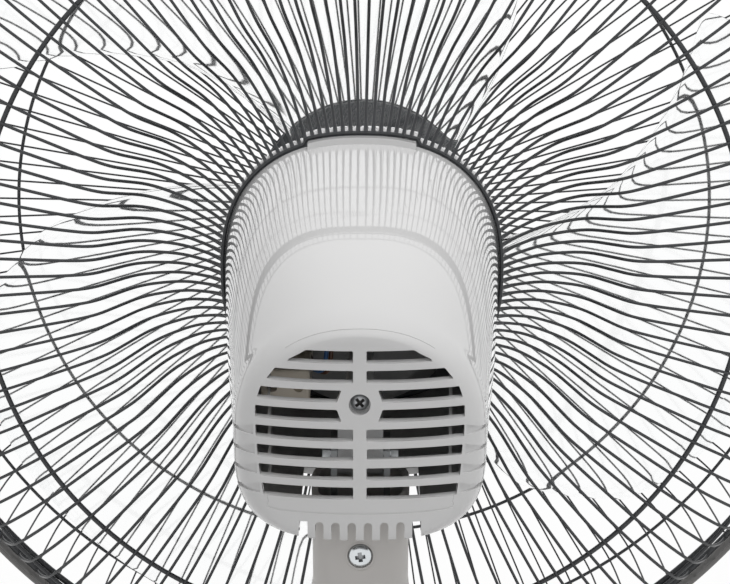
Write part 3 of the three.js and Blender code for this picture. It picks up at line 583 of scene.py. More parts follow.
def block(name, x, y, z, material):
    outline = [(x[0], y[0]), (x[1], y[0]), (x[1], y[1]), (x[0], y[1])]
    return prism(name, outline, z[0], z[1], material, "z")


def rod(name, axis, radius, start, end, centre, material, sides=32):
    outline = [np.add(centre, polar(radius, angle)) for angle in turns(sides)]
    return prism(name, outline, start, end, material, axis)


def spline(points, steps):
    """Points on a smooth curve through the given ones."""
    points = np.asarray(points, float)
    count = len(points)
    result = []
    for k in range(count - 1):
        a, b, c, d = points[[min(max(i, 0), count - 1) for i in range(k - 1, k + 3)]]
        for t in np.arange(steps) / steps:
            cubic = 2 * b + (c - a) * t + (2 * a - 5 * b + 4 * c - d) * t**2
            result.append((cubic + (3 * b - a - 3 * c + d) * t**3) / 2)
    result.append(points[-1])
    return np.array(result)


def tube(name, path, radius, material, sides=12):
    """A round section carried along a path."""
    path = np.asarray(path, float)
    ahead = np.roll(path, -1, 0) - np.roll(path, 1, 0)
    ahead[0] = path[1] - path[0]
    ahead[-1] = path[-1] - path[-2]
    rings = []
    side = np.cross(ahead[0], (0.31, 0.52, 0.79))
    for point, along in zip(path, ahead):
        along = along / np.linalg.norm(along)
        side = side - along * side.dot(along)
        side /= np.linalg.norm(side)
        up = np.cross(along, side)
        angles = turns(sides)[:, None]
        rings.append(point + radius * (np.cos(angles) * side + np.sin(angles) * up))
    return loft(name, rings, material, crease=50)


def shifted(obj, at):
    obj.data.transform(Matrix.Translation(Vector(at) * MM))
    return obj


def settle(obj, body, slot, *nodes):
    """Gives a finished piece to its body, in place of the nodes it stands for. Its slot is not
    used.
    """
    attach(obj, body)
    if nodes:
        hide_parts(*nodes)
    return obj


# ---------------------------------------------------------------- geometry node trees

GROUP_INPUTS = {"float": "NodeSocketFloat", "int": "NodeSocketInt", "vector": "NodeSocketVector"}


def node_group(name, **inputs):
    """An empty Geometry Nodes group with named inputs, and the values that they give."""
    group = bpy.data.node_groups.new(name, "GeometryNodeTree")
    group.interface.new_socket("Geometry", in_out="INPUT", socket_type="NodeSocketGeometry")
    group.interface.new_socket("Geometry", in_out="OUTPUT", socket_type="NodeSocketGeometry")
    for label, kind in inputs.items():
        group.interface.new_socket(label, in_out="INPUT", socket_type=GROUP_INPUTS[kind])
    group.interface.new_socket("finish", in_out="INPUT", socket_type="NodeSocketMaterial")
    tree = Tree(group)
    source = group.nodes.new("NodeGroupInput")
    return tree, {s.name: Value(tree, s) for s in source.outputs if s.name}


def close_group(tree, values, geometry):
    """Ends a group in Realize Instances and Set Material."""
    whole = tree.add("GeometryNodeRealizeInstances", {}, {0: geometry})
    coated = tree.add("GeometryNodeSetMaterial", {}, {0: whole, "Material": values["finish"]})
    tree.add("NodeGroupOutput", {}, {0: coated})
    return tree.nodes


def grown(name, group, source, inputs, material, crease=32):
    """The plain mesh that a group makes of a source mesh and its named inputs."""
    obj = bpy.data.objects.new(name, source)
    scene.collection.objects.link(obj)
    growth = obj.modifiers.new(group.name, "NODES")
    growth.node_group = group
    for item in group.interface.items_tree:
        if item.in_out == "INPUT" and item.name in inputs:
            growth[item.identifier] = inputs[item.name]
        elif item.in_out == "INPUT" and item.name == "finish":
            growth[item.identifier] = material
    return baked(obj, crease)


def line_mesh(name, points):
    mesh = bpy.data.meshes.new(name)
    edges = [(i, i + 1) for i in range(len(points) - 1)]
    mesh.from_pydata((np.asarray(points, float) * MM).tolist(), edges, [])
    return mesh


def hug_hub(tree, values, curves, fade_of):
    """Moves curves near the hub out to the housing's rim, and round its lip."""
    place = tree.add("GeometryNodeInputPosition")
    x, y, z = tree.split(place)
    radius = tree.length(x, z)
    across = abs(x) / radius
    upward = abs(z) / radius
    wide = (across / values["hub_half_width"]) ** RIM_POWER
    high = (upward / values["hub_half_height"]) ** RIM_POWER
    hub = (wide + high) ** (-1 / RIM_POWER)
    beyond = hub * across - values["lip_half_width"]
    over_lip = (1 - tree.smooth(beyond, 0.0, 1.5 * MM)) * tree.maths("GREATER_THAN", z, 0.0)
    shift = (hub + over_lip * values["lip_rise"] - values["hub_datum"]) * fade_of(radius)
    scale = (radius + shift) / radius
    moved = tree.add("ShaderNodeCombineXYZ", {}, {0: x * scale, 1: y, 2: z * scale})
    return tree.add("GeometryNodeSetPosition", {}, {"Geometry": curves, "Position": moved})


def thicken(tree, values, curves, share=1.0):
    """A round wire along each curve, with its thickness scaled by the share."""
    section = tree.add(
        "GeometryNodeCurvePrimitiveCircle",
        {"mode": "RADIUS"},
        {"Resolution": values["sides"], "Radius": values["wire_radius"]},
    )
    inputs = {"Curve": curves, "Profile Curve": section, "Scale": share, "Fill Caps": True}
    return tree.add("GeometryNodeCurveToMesh", {}, inputs)


HUB_SIZES = {
    "hub_half_width": (RIM_HALF_WIDTH + 1.1) * MM,
    "hub_half_height": (RIM_TOP + 1.1) * MM,
    "lip_half_width": LIP_HALF_WIDTH * MM,
    "lip_rise": LIP_RISE * MM,
    "hub_datum": 62 * MM,
}


def radial_wires_group():
    """Copies of one wire's path, evenly round the fan axis, with their inner ends on the hub."""
    tree, values = node_group(
        "radial_wires",
        wire_count="int",
        wire_radius="float",
        sides="int",
        foot_share="float",
        follow_from="float",
        follow_to="float",
        **dict.fromkeys(HUB_SIZES, "float"),
    )
    path = tree.add("GeometryNodeMeshToCurve", {}, {0: values["Geometry"]})
    spots = tree.add("GeometryNodePoints", {}, {"Count": values["wire_count"]})
    number = tree.add("GeometryNodeInputIndex")
    angle = (number + 0.5) * (2 * math.pi / values["wire_count"])
    turn = tree.add("ShaderNodeCombineXYZ", {}, {"Y": angle})
    inputs = {"Points": spots, "Instance": path, "Rotation": turn}
    copies = tree.add("GeometryNodeInstanceOnPoints", {}, inputs)
    curves = tree.add("GeometryNodeRealizeInstances", {}, {0: copies})

    def fade(radius):
        return 1 - tree.smooth(radius, values["follow_from"], values["follow_to"])

    place = tree.add("GeometryNodeInputPosition")
    x, y, z = tree.split(place)
    foot = 1 - tree.smooth(tree.length(x, z), *(edge * MM for edge in FOOT_FADE))
    swollen = 1 + foot * values["foot_share"]
    wires = thicken(tree, values, hug_hub(tree, values, curves, fade), swollen)
    return close_group(tree, values, wires)


def wire_ring_group():
    """A round wire ring about the fan axis, which can follow the hub's outline instead."""
    tree, values = node_group(
        "wire_ring",
        ring_radius="float",
        depth="float",
        wire_radius="float",
        sides="int",
        segments="int",
        hub_share="float",
        **dict.fromkeys(HUB_SIZES, "float"),
    )
    circle = tree.add(
        "GeometryNodeCurvePrimitiveCircle",
        {"mode": "RADIUS"},
        {"Resolution": values["segments"], "Radius": values["ring_radius"]},
    )
    depth = tree.add("ShaderNodeCombineXYZ", {}, {"Y": values["depth"]})
    upright = {"Geometry": circle, "Translation": depth, "Rotation": (math.pi / 2, 0, 0)}
    placed = tree.add("GeometryNodeTransform", {}, upright)
    hugged = hug_hub(tree, values, placed, lambda radius: values["hub_share"])
    return close_group(tree, values, thicken(tree, values, hugged))


def round_array_group():
    """Copies of a mesh, evenly round an axis through the origin."""
    tree, values = node_group("round_array", copies="int", axis="vector")
    spots = tree.add("GeometryNodePoints", {}, {"Count": values["copies"]})
    number = tree.add("GeometryNodeInputIndex")
    inputs = {"Axis": values["axis"], "Angle": number * (2 * math.pi / values["copies"])}
    turn = tree.add("FunctionNodeAxisAngleToRotation", {}, inputs)
    inputs = {"Points": spots, "Instance": values["Geometry"], "Rotation": turn}
    return close_group(tree, values, tree.add("GeometryNodeInstanceOnPoints", {}, inputs))


def row_group():
    """Copies of a mesh at equal steps along a line."""
    tree, values = node_group("straight_row", copies="int", step="vector")
    line = tree.add(
        "GeometryNodeMeshLine",
        {"mode": "OFFSET"},
        {"Count": values["copies"], "Offset": values["step"]},
    )
    inputs = {"Points": line, "Instance": values["Geometry"]}
    return close_group(tree, values, tree.add("GeometryNodeInstanceOnPoints", {}, inputs))


RADIAL_WIRES = radial_wires_group()
WIRE_RING = wire_ring_group()
ROUND_ARRAY = round_array_group()
STRAIGHT_ROW = row_group()


def multiplied(name, group, obj, inputs, crease):
    """What a group makes of an object's mesh. The object itself is used up."""
    material = obj.data.materials[0]
    result = grown(name, group, obj.data.copy(), inputs, material, crease)
    bpy.data.objects.remove(obj)
    return result


def round_array(name, obj, copies, axis, crease=32):
    return multiplied(name, ROUND_ARRAY, obj, {"copies": copies, "axis": axis}, crease)


def straight_row(name, obj, copies, step):
    inputs = {"copies": copies, "step": tuple(c * MM for c in step)}
    return multiplied(name, STRAIGHT_ROW, obj, inputs, 32)


# ---------------------------------------------------------------- camera, light and floor

CAMERA_PLACE = (-0.0073, 1.1281, 0.6594)
CAMERA_DIRECTION = (0.005, -0.9627, -0.2706)
CAMERA_LENS = 134.6
AMBIENT = 0.39
LIT_POINT = (0, 0, 0.33)
LAMPS = {
    "lamp_above": {"place": (-0.3, 0.35, 2.1), "size": 1.6, "energy": 26},
    "lamp_behind": {"place": (-1.3, 1.8, 1.1), "size": 1.2, "energy": 3},
    "lamp_front": {"place": (0.9, -1.6, 1.2), "size": 1.2, "energy": 9},
}
FLOOR_REACH = 6
FLOOR_FADE = (0.5, 1.6)


def aim(obj, place, direction):
    """Puts an object in the scene with its -Z along a direction."""
    obj.location = place
    obj.rotation_mode = "QUATERNION"
    obj.rotation_quaternion = Vector(direction).to_track_quat("-Z", "Y")
    scene.collection.objects.link(obj)
    return obj


def add_camera():
    lens = bpy.data.cameras.new("photo_camera")
    lens.sensor_width = 36
    lens.lens = CAMERA_LENS
    camera = bpy.data.objects.new("photo_camera", lens)
    scene.camera = aim(camera, CAMERA_PLACE, CAMERA_DIRECTION)


def add_lamp(name, place, size, energy):
    """A lamp that neither the gloss nor the clear blades show."""
    lamp = bpy.data.lights.new(name, "AREA")
    lamp.size = size
    lamp.energy = energy
    obj = aim(bpy.data.objects.new(name, lamp), place, Vector(LIT_POINT) - Vector(place))
    obj.visible_glossy = False
    obj.visible_transmission = False


def seen_directly(tree):
    """1 for rays from the camera, and for what gloss and clear plastic show."""
    path = tree.add("ShaderNodeLightPath")
    kinds = ("Is Camera Ray", "Is Glossy Ray", "Is Transmission Ray")
    shown = [path.output(kind) for kind in kinds]
    return tree.maths("MINIMUM", shown[0] + shown[1] + shown[2], 1.0)


def add_world():
    world = bpy.data.worlds.new("studio")
    world.use_nodes = True
    tree = Tree(world.node_tree)
    background = world.node_tree.nodes["Background"]
    seen = seen_directly(tree)
    background.inputs["Color"].default_value = (1, 1, 1, 1)
    tree.feed(background.inputs["Strength"], seen + (1 - seen) * AMBIENT)
    scene.world = world


def floor_finish():
    """Pale and matt, with a soft shadow under the base, and plain white further out."""
    material = bpy.data.materials.new("studio_floor")
    material.use_nodes = True
    nodes = material.node_tree
    tree = Tree(nodes)
    nodes.nodes.remove(nodes.nodes["Principled BSDF"])
    glow = tree.add("ShaderNodeEmission", {}, {"Color": (1, 1, 1, 1), "Strength": 1.0})
    seen = seen_directly(tree)
    tint = tree.blend(seen, (0.6, 0.6, 0.6, 1), (0.97, 0.97, 0.97, 1))
    matt = tree.add("ShaderNodeBsdfDiffuse", {}, {"Color": tint})
    x, y, z = tree.split(tree.add("ShaderNodeTexCoord", output="Object"))
    far = tree.smooth(tree.length(x, y), *FLOOR_FADE)
    both = tree.add("ShaderNodeMixShader", {}, {0: seen * (0.88 + far * 0.12), 1: matt, 2: glow})
    tree.feed(nodes.nodes["Material Output"].inputs["Surface"], both)
    return material


def add_floor():
    reach = FLOOR_REACH
    mesh = bpy.data.meshes.new("floor")
    corners = [(-reach, -reach, 0), (reach, -reach, 0), (reach, reach, 0), (-reach, reach, 0)]
    mesh.from_pydata(corners, [], [(0, 1, 2, 3)])
    mesh.materials.append(floor_finish())
    floor = bpy.data.objects.new("floor", mesh)
    scene.collection.objects.link(floor)


def set_the_stage():
    add_camera()
    add_world()
    for name, lamp in LAMPS.items():
        add_lamp(name, **lamp)
    add_floor()
    scene.view_settings.view_transform = "Standard"


# ---------------------------------------------------------------- motor housing

CROWN_FALL = (20, 24.6)
WIDEST_FALL = 33
FACE_MIDDLE = -28
BELOW = HOUSING_BOTTOM - 9
BEHIND = HOUSING_BACK + 24
SCREW_SPOT = (0, BACK_SCREW_Z)
LOWER_LINE = (
    (-37, -52), (-36.6, -57), (-33, -60.4), (0, -61), (33, -60.4), (36.6, -57), (37, -52),
)


def housing_section(depth, inset, turn_in=0):
    """The housing's section at a depth: an arch above its widest line, squarer below it."""
    t = min(max((depth - HOUSING_FRONT) / (HOUSING_BACK - HOUSING_FRONT), 0), 1)
    fall = max(0, (depth - HOUSING_FRONT) / (FACE_DEPTH - HOUSING_FRONT))
    edge = inset + EDGE_SHARE * turn_in
    slope, droop = CROWN_FALL
    return {
        "half": mix(RIM_HALF_WIDTH, FACE_HALF_WIDTH, t**1.1) - inset - turn_in,
        "top": RIM_TOP - slope * fall - droop * fall**4 - edge,
        "bottom": mix(RIM_BOTTOM, HOUSING_BOTTOM, smoothstep(3 * t)) + edge,
        "widest": -WIDEST_FALL * t**3,
        "arch_power": mix(RIM_POWER, 2.2, t),
        "floor_power": mix(RIM_POWER, 3.6, smoothstep(2 * t)),
    }


def section_points(section, angles):
    up = np.sin(angles) >= 0
    widest = section["widest"]
    exponent = 2 / np.where(up, section["arch_power"], section["floor_power"])
    reach = np.where(up, section["top"] - widest, widest - section["bottom"])
    x = section["half"] * signed_power(np.cos(angles), exponent)
    return x, widest + reach * signed_power(np.sin(angles), exponent)


def face_drop(x):
    """How far the rear face falls away towards its sides."""
    return FACE_BULGE * (x / FACE_HALF_WIDTH) ** 2


def housing_rings(inset, front, sides, barrel_steps):
    """The housing's skin: its barrel, the rounding at its rear edge, and its rear face."""
    angles = turns(sides, 0.5)
    rounding = HOUSING_ROUND - inset
    stations = [(depth, 0) for depth in np.linspace(front, HOUSING_BACK, barrel_steps)]
    for turn in np.linspace(0, math.pi / 2, 9)[1:]:
        stations.append((HOUSING_BACK + rounding * math.sin(turn), rounding * (1 - math.cos(turn))))
    rings = []
    for depth, turn_in in stations:
        x, z = section_points(housing_section(depth, inset, turn_in), angles)
        bulge = smoothstep((depth - BULGE_START) / (HOUSING_BACK - BULGE_START))
        rings.append(np.stack((x, depth - bulge * face_drop(x), z), 1))
    edge = rings[-1]
    for share in (0.94, 0.86, 0.75, 0.6, 0.42, 0.22, 0):
        x = edge[:, 0] * share
        z = mix(FACE_MIDDLE, edge[:, 2], share)
        rings.append(np.stack((x, HOUSING_BACK + rounding - face_drop(x), z), 1))
    return np.array(rings)


def row_level(row):
    """The height of a slot row's middle line. Rows count from the top."""
    return SLOT_DATUM + (3 - row) * SLOT_PITCH


def field_half_width(z):
    """The slots' outer ends: an arch above the datum, slightly drawn in below it."""
    up = z - SLOT_DATUM
    if up > 0:
        return SLOT_HALF_WIDTH * math.sqrt(max(0, 1 - (up / SLOT_ARCH) ** 2))
    return SLOT_HALF_WIDTH - 2.7 * (up / (4 * SLOT_PITCH)) ** 2


def land_half_width(z):
    """The slots' inner ends: a narrow spine, with a six-sided land round the screw."""
    away = abs(z - (SLOT_DATUM + SLOT_PITCH / 2))
    return SPINE_HALF_WIDTH if away > SLOT_PITCH else 9.9 - 0.42 * away


def slot_outline(side, low, high, draft=0):
    """A slot's outline, or with a draft of 1 the wider one that it opens to at the face."""
    corners = []
    for z, spread in ((low, -0.75), (high, 0.1)):
        level = z + spread * draft
        corners.append((side * (land_half_width(z) - 0.2 * draft), level))
        corners.append((side * (field_half_width(z) + 0.3 * draft), level))
    inner_low, outer_low, inner_high, outer_high = corners
    return rounded([inner_low, outer_low, outer_high, inner_high], 0.5, 2, loop=True)


def drafted_mouth(inner, outer):
    """A cutter that opens from the slot's outline inside the wall to the wider one at its face."""
    rings = []
    for outline, share in ((inner, 0), (outer, 1), (outer, 4)):
        x, z = np.array(outline).T
        depth = FACE_DEPTH - face_drop(x) + mix(-2.2, 0.05, share)
        rings.append(np.stack((x, depth, z), 1))
    return loft("mouth", rings, GLOSS)


def slot_tools():
    slots, mouths = [], []
    for row in range(SLOT_ROWS):
        low, high = row_level(row) - SLOT_HEIGHT / 2, row_level(row) + SLOT_HEIGHT / 2
        for side in (-1, 1):
            outline = slot_outline(side, low, high)
            slots.append(prism("slot", outline, HOUSING_BACK - 12, BEHIND, GLOSS))
            mouths.append(drafted_mouth(outline, slot_outline(side, low, high, 1)))
    return joined("slots", *slots), joined("mouths", *mouths)


def comb_tools():
    """The open slots along the housing's lower edge, with a notch beside the neck at each end."""
    tools = []
    r = COMB_WIDTH / 2
    for i in range(COMB_SLOTS):
        x = (i - (COMB_SLOTS - 1) / 2) * COMB_PITCH
        crown = [polar(r, a) for a in np.linspace(0, math.pi, 9)]
        arch = [(x + dx, COMB_TOP - r + dz) for dx, dz in crown]
        outline = [*arch, (x - r, BELOW), (x + r, BELOW)]
        tools.append(prism("comb", outline, OPENING_BACK - 4, BEHIND, GLOSS))
    for side in (-1, 1):
        x = sorted((side * NOTCH_INNER, side * NOTCH_OUTER))
        tools.append(block("notch", x, (OPENING_BACK - 2, BEHIND), (BELOW, COMB_TOP), GLOSS))
    return joined("comb", *tools)


def side_grooves():
    """Steps that carry the four lowest rows round the housing's corners, and narrow as they go."""
    tools = []
    for row in range(4, SLOT_ROWS):
        low = row_level(row) - SLOT_HEIGHT / 2
        start = field_half_width(row_level(row)) + 1.2
        for side in (-1, 1):
            outline = [
                (side * start, low),
                (side * RIM_HALF_WIDTH, low),
                (side * FACE_HALF_WIDTH, low + SLOT_HEIGHT / 4),
                (side * start, low + SLOT_HEIGHT),
            ]
            tools.append(prism("groove", outline, OPENING_BACK - 35, BEHIND, GLOSS))
    floor = loft("floor", housing_rings(GROOVE_DEPTH, HOUSING_FRONT - 3, 144, 24), GLOSS)
    return carve(joined("grooves", *tools), floor)


def rim_lip():
    x = np.linspace(LIP_HALF_WIDTH, -LIP_HALF_WIDTH, 25)
    z = RIM_TOP * (1 - np.abs(x / RIM_HALF_WIDTH) ** RIM_POWER) ** (1 / RIM_POWER)
    foot = RIM_TOP - 14
    outline = [(-LIP_HALF_WIDTH, foot), (LIP_HALF_WIDTH, foot), *zip(x, z + LIP_RISE)]
    return prism("lip", outline, HOUSING_FRONT, HOUSING_FRONT + 4.5, GLOSS)


def face_groove(points):
    """A fine line sunk in the rear face, through points given as (x, z)."""
    radius = 0.42
    flat = spline(points, 10)
    depth = FACE_DEPTH - face_drop(flat[:, 0]) + radius * 0.35
    path = np.stack((flat[:, 0], depth, flat[:, 1]), 1)
    return tube("groove", path, radius, GLOSS, sides=6)


def crown_groove():
    """A fine line over the rounding above the rear face."""
    turn = math.radians(55)
    depth = HOUSING_BACK + HOUSING_ROUND * math.sin(turn)
    section = housing_section(depth, 0, HOUSING_ROUND * (1 - math.cos(turn)))
    x, z = section_points(section, np.radians(np.linspace(53, 127, 49)))
    path = np.stack((x, depth - face_drop(x), z), 1)
    return tube("groove", path, 0.22, GLOSS, sides=6)


def motor_housing():
    shell = loft("motor_housing_shell", housing_rings(0, HOUSING_FRONT, 360, 60), GLOSS)
    unite(shell, rim_lip())
    carve(shell, loft("inside", housing_rings(WALL, HOUSING_FRONT - 3, 72, 14), GLOSS))
    post = rod("post", "y", 6.5, 106, FACE_DEPTH - 1, SCREW_SPOT, GLOSS)
    spans = ((-36.4, -35.2), (35.2, 36.4))
    ribs = [block("rib", span, (116, 139), (-47, -8), GLOSS) for span in spans]
    unite(shell, post, *ribs)
    across = (-NOTCH_OUTER, NOTCH_OUTER)
    neck_way = block("neck_way", across, (OPENING_FRONT, OPENING_BACK), (BELOW, -60), GLOSS)
    recess = rod("recess", "y", 4.3, HOUSING_BACK + 5, BEHIND, SCREW_SPOT, GLOSS)
    hole = rod("hole", "y", 2.3, 100, BEHIND, SCREW_SPOT, GLOSS)
    openings = [*slot_tools(), side_grooves(), comb_tools(), neck_way, recess, hole]
    carve(shell, *openings, crown_groove(), face_groove(LOWER_LINE), crease=28)
    return settle(shifted(shell, HEAD), "head", "gloss_white", "motor_housing")


def cover_outline(grow, y):
    """The cover's outline, which steps out round the housing's lip as the guard does."""
    angles = turns(360)
    half_x, half_z = RIM_HALF_WIDTH + 2 + grow, RIM_TOP + 1.8 + grow
    across = np.abs(np.cos(angles) / half_x) ** RIM_POWER
    up = np.abs(np.sin(angles) / half_z) ** RIM_POWER
    r = (across + up) ** (-1 / RIM_POWER)
    over_lip = 1 - smoothstep((np.abs(r * np.cos(angles)) - LIP_HALF_WIDTH) / 2)
    r = r + np.where(np.sin(angles) > 0, LIP_RISE * over_lip, 0)
    return np.stack((r * np.cos(angles), np.full(len(angles), float(y)), r * np.sin(angles)), 1)


def front_cover():
    """The dish on the blades' side of the guard, as (growth, depth) round its section."""
    rim = PLATE_FRONT - GAP
    outside = [
        (-1.2, rim), (-0.4, 1.6), (0, 0), (0, -5), (-1.6, -9.5), (-8, -16), (-18, -21), (-34, -24),
    ]
    inside = [
        (-49.5, -24), (-49.5, -21.2), (-34, -21.2), (-19, -18.6), (-10, -14), (-3.6, -8.4),
        (-3.2, -5), (-3.8, rim),
    ]
    rings = [cover_outline(*station) for station in outside + inside]
    dish = loft("front_cover_dish", rings, GLOSS, HEAD, loop=True)
    return settle(dish, "head", "gloss_white", "motor_front_cover")


# ---------------------------------------------------------------- wire guards

# Each wire's path as (radius, depth), and each welded ring's radius, depth and thickness.
REAR_WIRE = (
    (61.9, 6.2), (62.9, 3.2), (68, -4), (81, -16.6), (99.5, -18.6), (119.5, 0.6), (133, 2),
    (169, 1.3), (190, -4), (204, -11), (211, -17.5), (217, -30), (221.5, -42), (224.6, -52),
    (225.6, -55.5),
)
REAR_RINGS = (
    (MAIN_RING_R, -0.6, 1.15),
    (SIDE_RING_R, -16.4, 0.95),
    (RIM_R - 1.6, -52.5, 1.5),
)
FRONT_WIRE = (
    (47, -111.4), (60, -111.6), (100, -111.4), (140, -110.6), (165, -109.6), (190, -108.6),
    (205, -107.4), (213, -103.6), (218, -95), (222, -80), (225.4, -64), (225.7, -61.5),
)
FRONT_RINGS = (
    (48, -112.6, 0.9),
    (FRONT_RING_R, -110.8, 0.8),
    (FRONT_EDGE_R, -103.4, 0.8),
    (RIM_R - 1.6, -63.5, 1.5),
)


def wire_set(path, bend, thickness, follow, foot=0.0):
    inputs = {
        "wire_count": GUARD_WIRES,
        "wire_radius": thickness * MM,
        "sides": 6,
        "foot_share": foot,
        "follow_from": follow[0] * MM,
        "follow_to": follow[1] * MM,
        **HUB_SIZES,
    }
    line = line_mesh("wires", [(r, y, 0) for r, y in rounded(path, bend, 5)])
    return grown("wires", RADIAL_WIRES, line, inputs, WIRE, 80)


def ring_wire(radius, depth, thickness, hub_share=0.0, segments=240):
    inputs = {
        "ring_radius": radius * MM,
        "depth": depth * MM,
        "wire_radius": thickness * MM,
        "sides": 10,
        "segments": segments,
        "hub_share": hub_share,
        **HUB_SIZES,
    }
    return grown("ring", WIRE_RING, bpy.data.meshes.new("ring"), inputs, WIRE, 80)


def guard(node, wires, rings):
    """One welded guard, from its wires and rings."""
    whole = shifted(joined(f"{node}_wires", wires, *rings), HEAD)
    return settle(whole, "head", "guard_grey", node)


def guards():
    hub_ring = ring_wire(62, 5.6, 0.85, hub_share=1.0, segments=360)
    wires = wire_set(REAR_WIRE, 9, REAR_WIRE_RADIUS, (64, 92), WIRE_FOOT)
    guard("rear_guard", wires, [hub_ring, *(ring_wire(*ring) for ring in REAR_RINGS)])
    wires = wire_set(FRONT_WIRE, 12, FRONT_WIRE_RADIUS, (1, 2))
    guard("front_guard", wires, [ring_wire(*ring) for ring in FRONT_RINGS])


def rim_band():
    inner, outer = RIM_R + 1.9, RIM_R + 4.6
    section = [
        (inner, -67), (outer - 1, -66.4), (outer, -65.2),
        (outer, -51.8), (outer - 1, -50.6), (inner, -50),
    ]
    hoop = lathe("guard_rim_hoop", section, BAND, sides=240, loop=True)
    ears = block("ears", (-7, 7), (-66, -51), (-outer - 7.4, -inner - 0.8), BAND)
    unite(hoop, bevel(ears, 1))
    split = block("split", (-1.5, 1.5), (-80, -40), (-outer - 20, -inner + 4), BAND)
    bolt_way = rod("way", "x", 2.3, -20, 20, RIM_BOLT, BAND)
    carve(hoop, split, bolt_way)
    return settle(shifted(hoop, HEAD), "head", "dark_plastic", "guard_rim_band")


def badge_cap():
    """A plain domed cap, ringed by a shallow step."""
    profile = [
        (0, -119), (20, -118.8), (34, -118.4), (42, -117.5), (44, -117.1), (44.6, -116.5),
        (46, -116.4), (48.5, -116.2), (51, -114.8), (BADGE_R, -113.9), (BADGE_R - 2, -113.9),
        (46, -114.6), (0, -116),
    ]
    cap = lathe("badge_cap", profile, BADGE, HEAD, sides=128)
    return settle(cap, "head", "dark_plastic", "front_badge")


# ---------------------------------------------------------------- impeller

# The blades' edges, as (radius, degrees) from the root to the tip.
TRAILING_EDGE = ((HUB_R - 2, 34), (65, 43), (122, 55), (150, 61), (BLADE_TIP_R, 79))
LEADING_EDGE = ((HUB_R - 2, 119), (75, 125.5), (114, 133.5), (151, 145), (BLADE_TIP_R, 160))
BLADE_Y = -60
TIP_ROUNDING = 16
ROOT_PITCH, TIP_PITCH, LEAD = 40, 24, 5
CAMBER = 5
ROOT_THICKNESS, TIP_THICKNESS = 1.2, 0.75


def edge_angle(edge, r):
    radii, degrees = zip(*edge)
    return np.interp(r, radii, degrees)


def blade_point(span, chord, side):
    """A point of a blade's skin, at shares of its span and chord, on its upper or lower side."""
    tip = BLADE_TIP_R - TIP_ROUNDING * abs(2 * chord - 1) ** 5
    r = mix(HUB_R - 2, tip, span)
    degrees = mix(edge_angle(TRAILING_EDGE, r), edge_angle(LEADING_EDGE, r), chord)
    x, z = polar(r, math.radians(degrees))
    pitch = mix(ROOT_PITCH, TIP_PITCH, span) * (chord - 0.5) + LEAD * chord
    camber = CAMBER * math.sin(math.pi * chord) * span
    edge_taper = max(0.2, 1 - abs(2 * chord - 1) ** 22)
    tip_taper = max(0.25, 1 - span**40)
    thick = mix(ROOT_THICKNESS, TIP_THICKNESS, span) * edge_taper * tip_taper
    return (-x, BLADE_Y + pitch - camber + side * thick, z)


def impeller():
    spans = [*np.linspace(0, 0.95, 27), 0.965, 0.98, 0.99, 1]
    chords = (1 - np.cos(np.linspace(0, math.pi, 41))) / 2
    rings = []
    for s in spans:
        upper = [blade_point(s, c, 1) for c in chords]
        rings.append(upper + [blade_point(s, c, -1) for c in chords[::-1]])
    one = loft("blade", rings, CLEAR, crease=60)
    fan = round_array("clear_impeller", one, BLADES, (0, 1, 0), crease=60)
    carve(fan, rod("core", "y", HUB_R - 1.4, -100, -20, (0, 0), CLEAR, sides=96), crease=60)
    bore = SHAFT_R + GAP
    profile = [
        (bore, HUB_BACK), (9, HUB_BACK), (9, -78), (HUB_R - 3, -76), (HUB_R - 3, HUB_BACK),
        (HUB_R, HUB_BACK), (HUB_R, -77), (HUB_R - 1.2, -80.6), (HUB_R - 4, -82.2),
        (bore, HUB_FRONT),
    ]
    hub = lathe("hub", profile, CLEAR, sides=96, loop=True)
    whole = shifted(joined("clear_impeller", fan, hub), HEAD)
    whole.visible_shadow = False
    return settle(whole, "rotor", "clear_blade", "impeller")


def spinner_nut():
    bore = SHAFT_R + GAP
    profile = [
        (0, -103), (6, -102.6), (14, -100.5), (18.4, -97.4), (21, -93), (23, HUB_FRONT - GAP),
        (bore, HUB_FRONT - GAP), (bore, -97), (0, -97),
    ]
    nut = lathe("spinner_nut", profile, DARK, sides=72)
    rib = block("rib", (19.2, 24), (-96, -85), (-1.3, 1.3), DARK)
    carve(nut, round_array("ribs", rib, 12, (0, 1, 0)))
    return settle(shifted(nut, HEAD), "rotor", "dark_plastic", "blade_nut")


# ---------------------------------------------------------------- motor


def laminations():
    """The stator's stack, as separate sheets with a keyed outer edge."""
    pitch = 1.17
    start = STACK_FRONT + GAP
    count = int((STACK_BACK - STACK_FRONT - 2 * GAP) / pitch)
    outline = [polar(MOTOR_R - (0.9 if i % 12 == 0 else 0), a) for i, a in enumerate(turns(96))]
    sheet = prism("sheet", outline, start, start + pitch - 0.18, STEEL)
    carve(sheet, rod("bore", "y", 20.6, 20, 60, (0, 0), STEEL, sides=48))
    stack = shifted(straight_row("stator_sheets", sheet, count, (0, pitch, 0)), HEAD)
    return settle(stack, "head", "steel", "stator_core")


def winding(end, front, back):
    """A ring of lapped coils at one end of the stack, lashed at intervals."""
    middle = np.array((29, (front + back) / 2))
    corners = [(23, front), (34, front), (36, middle[1]), (33, back), (24, back)]
    section = rounded(corners, 3, 3, True)
    rings = []
    for angle in turns(144):
        lap = 1 - 0.07 * abs(math.sin(6 * angle)) ** 0.6
        ring = []
        for point in section:
            r, y = middle + (np.asarray(point) - middle) * lap
            x, z = polar(r, angle)
            ring.append((x, y, z))
        rings.append(ring)
    coil = loft(f"winding_{end}_coils", rings, COPPER, HEAD, loop=True, crease=60)
    return settle(coil, "head", "copper", f"stator_winding_{end}")


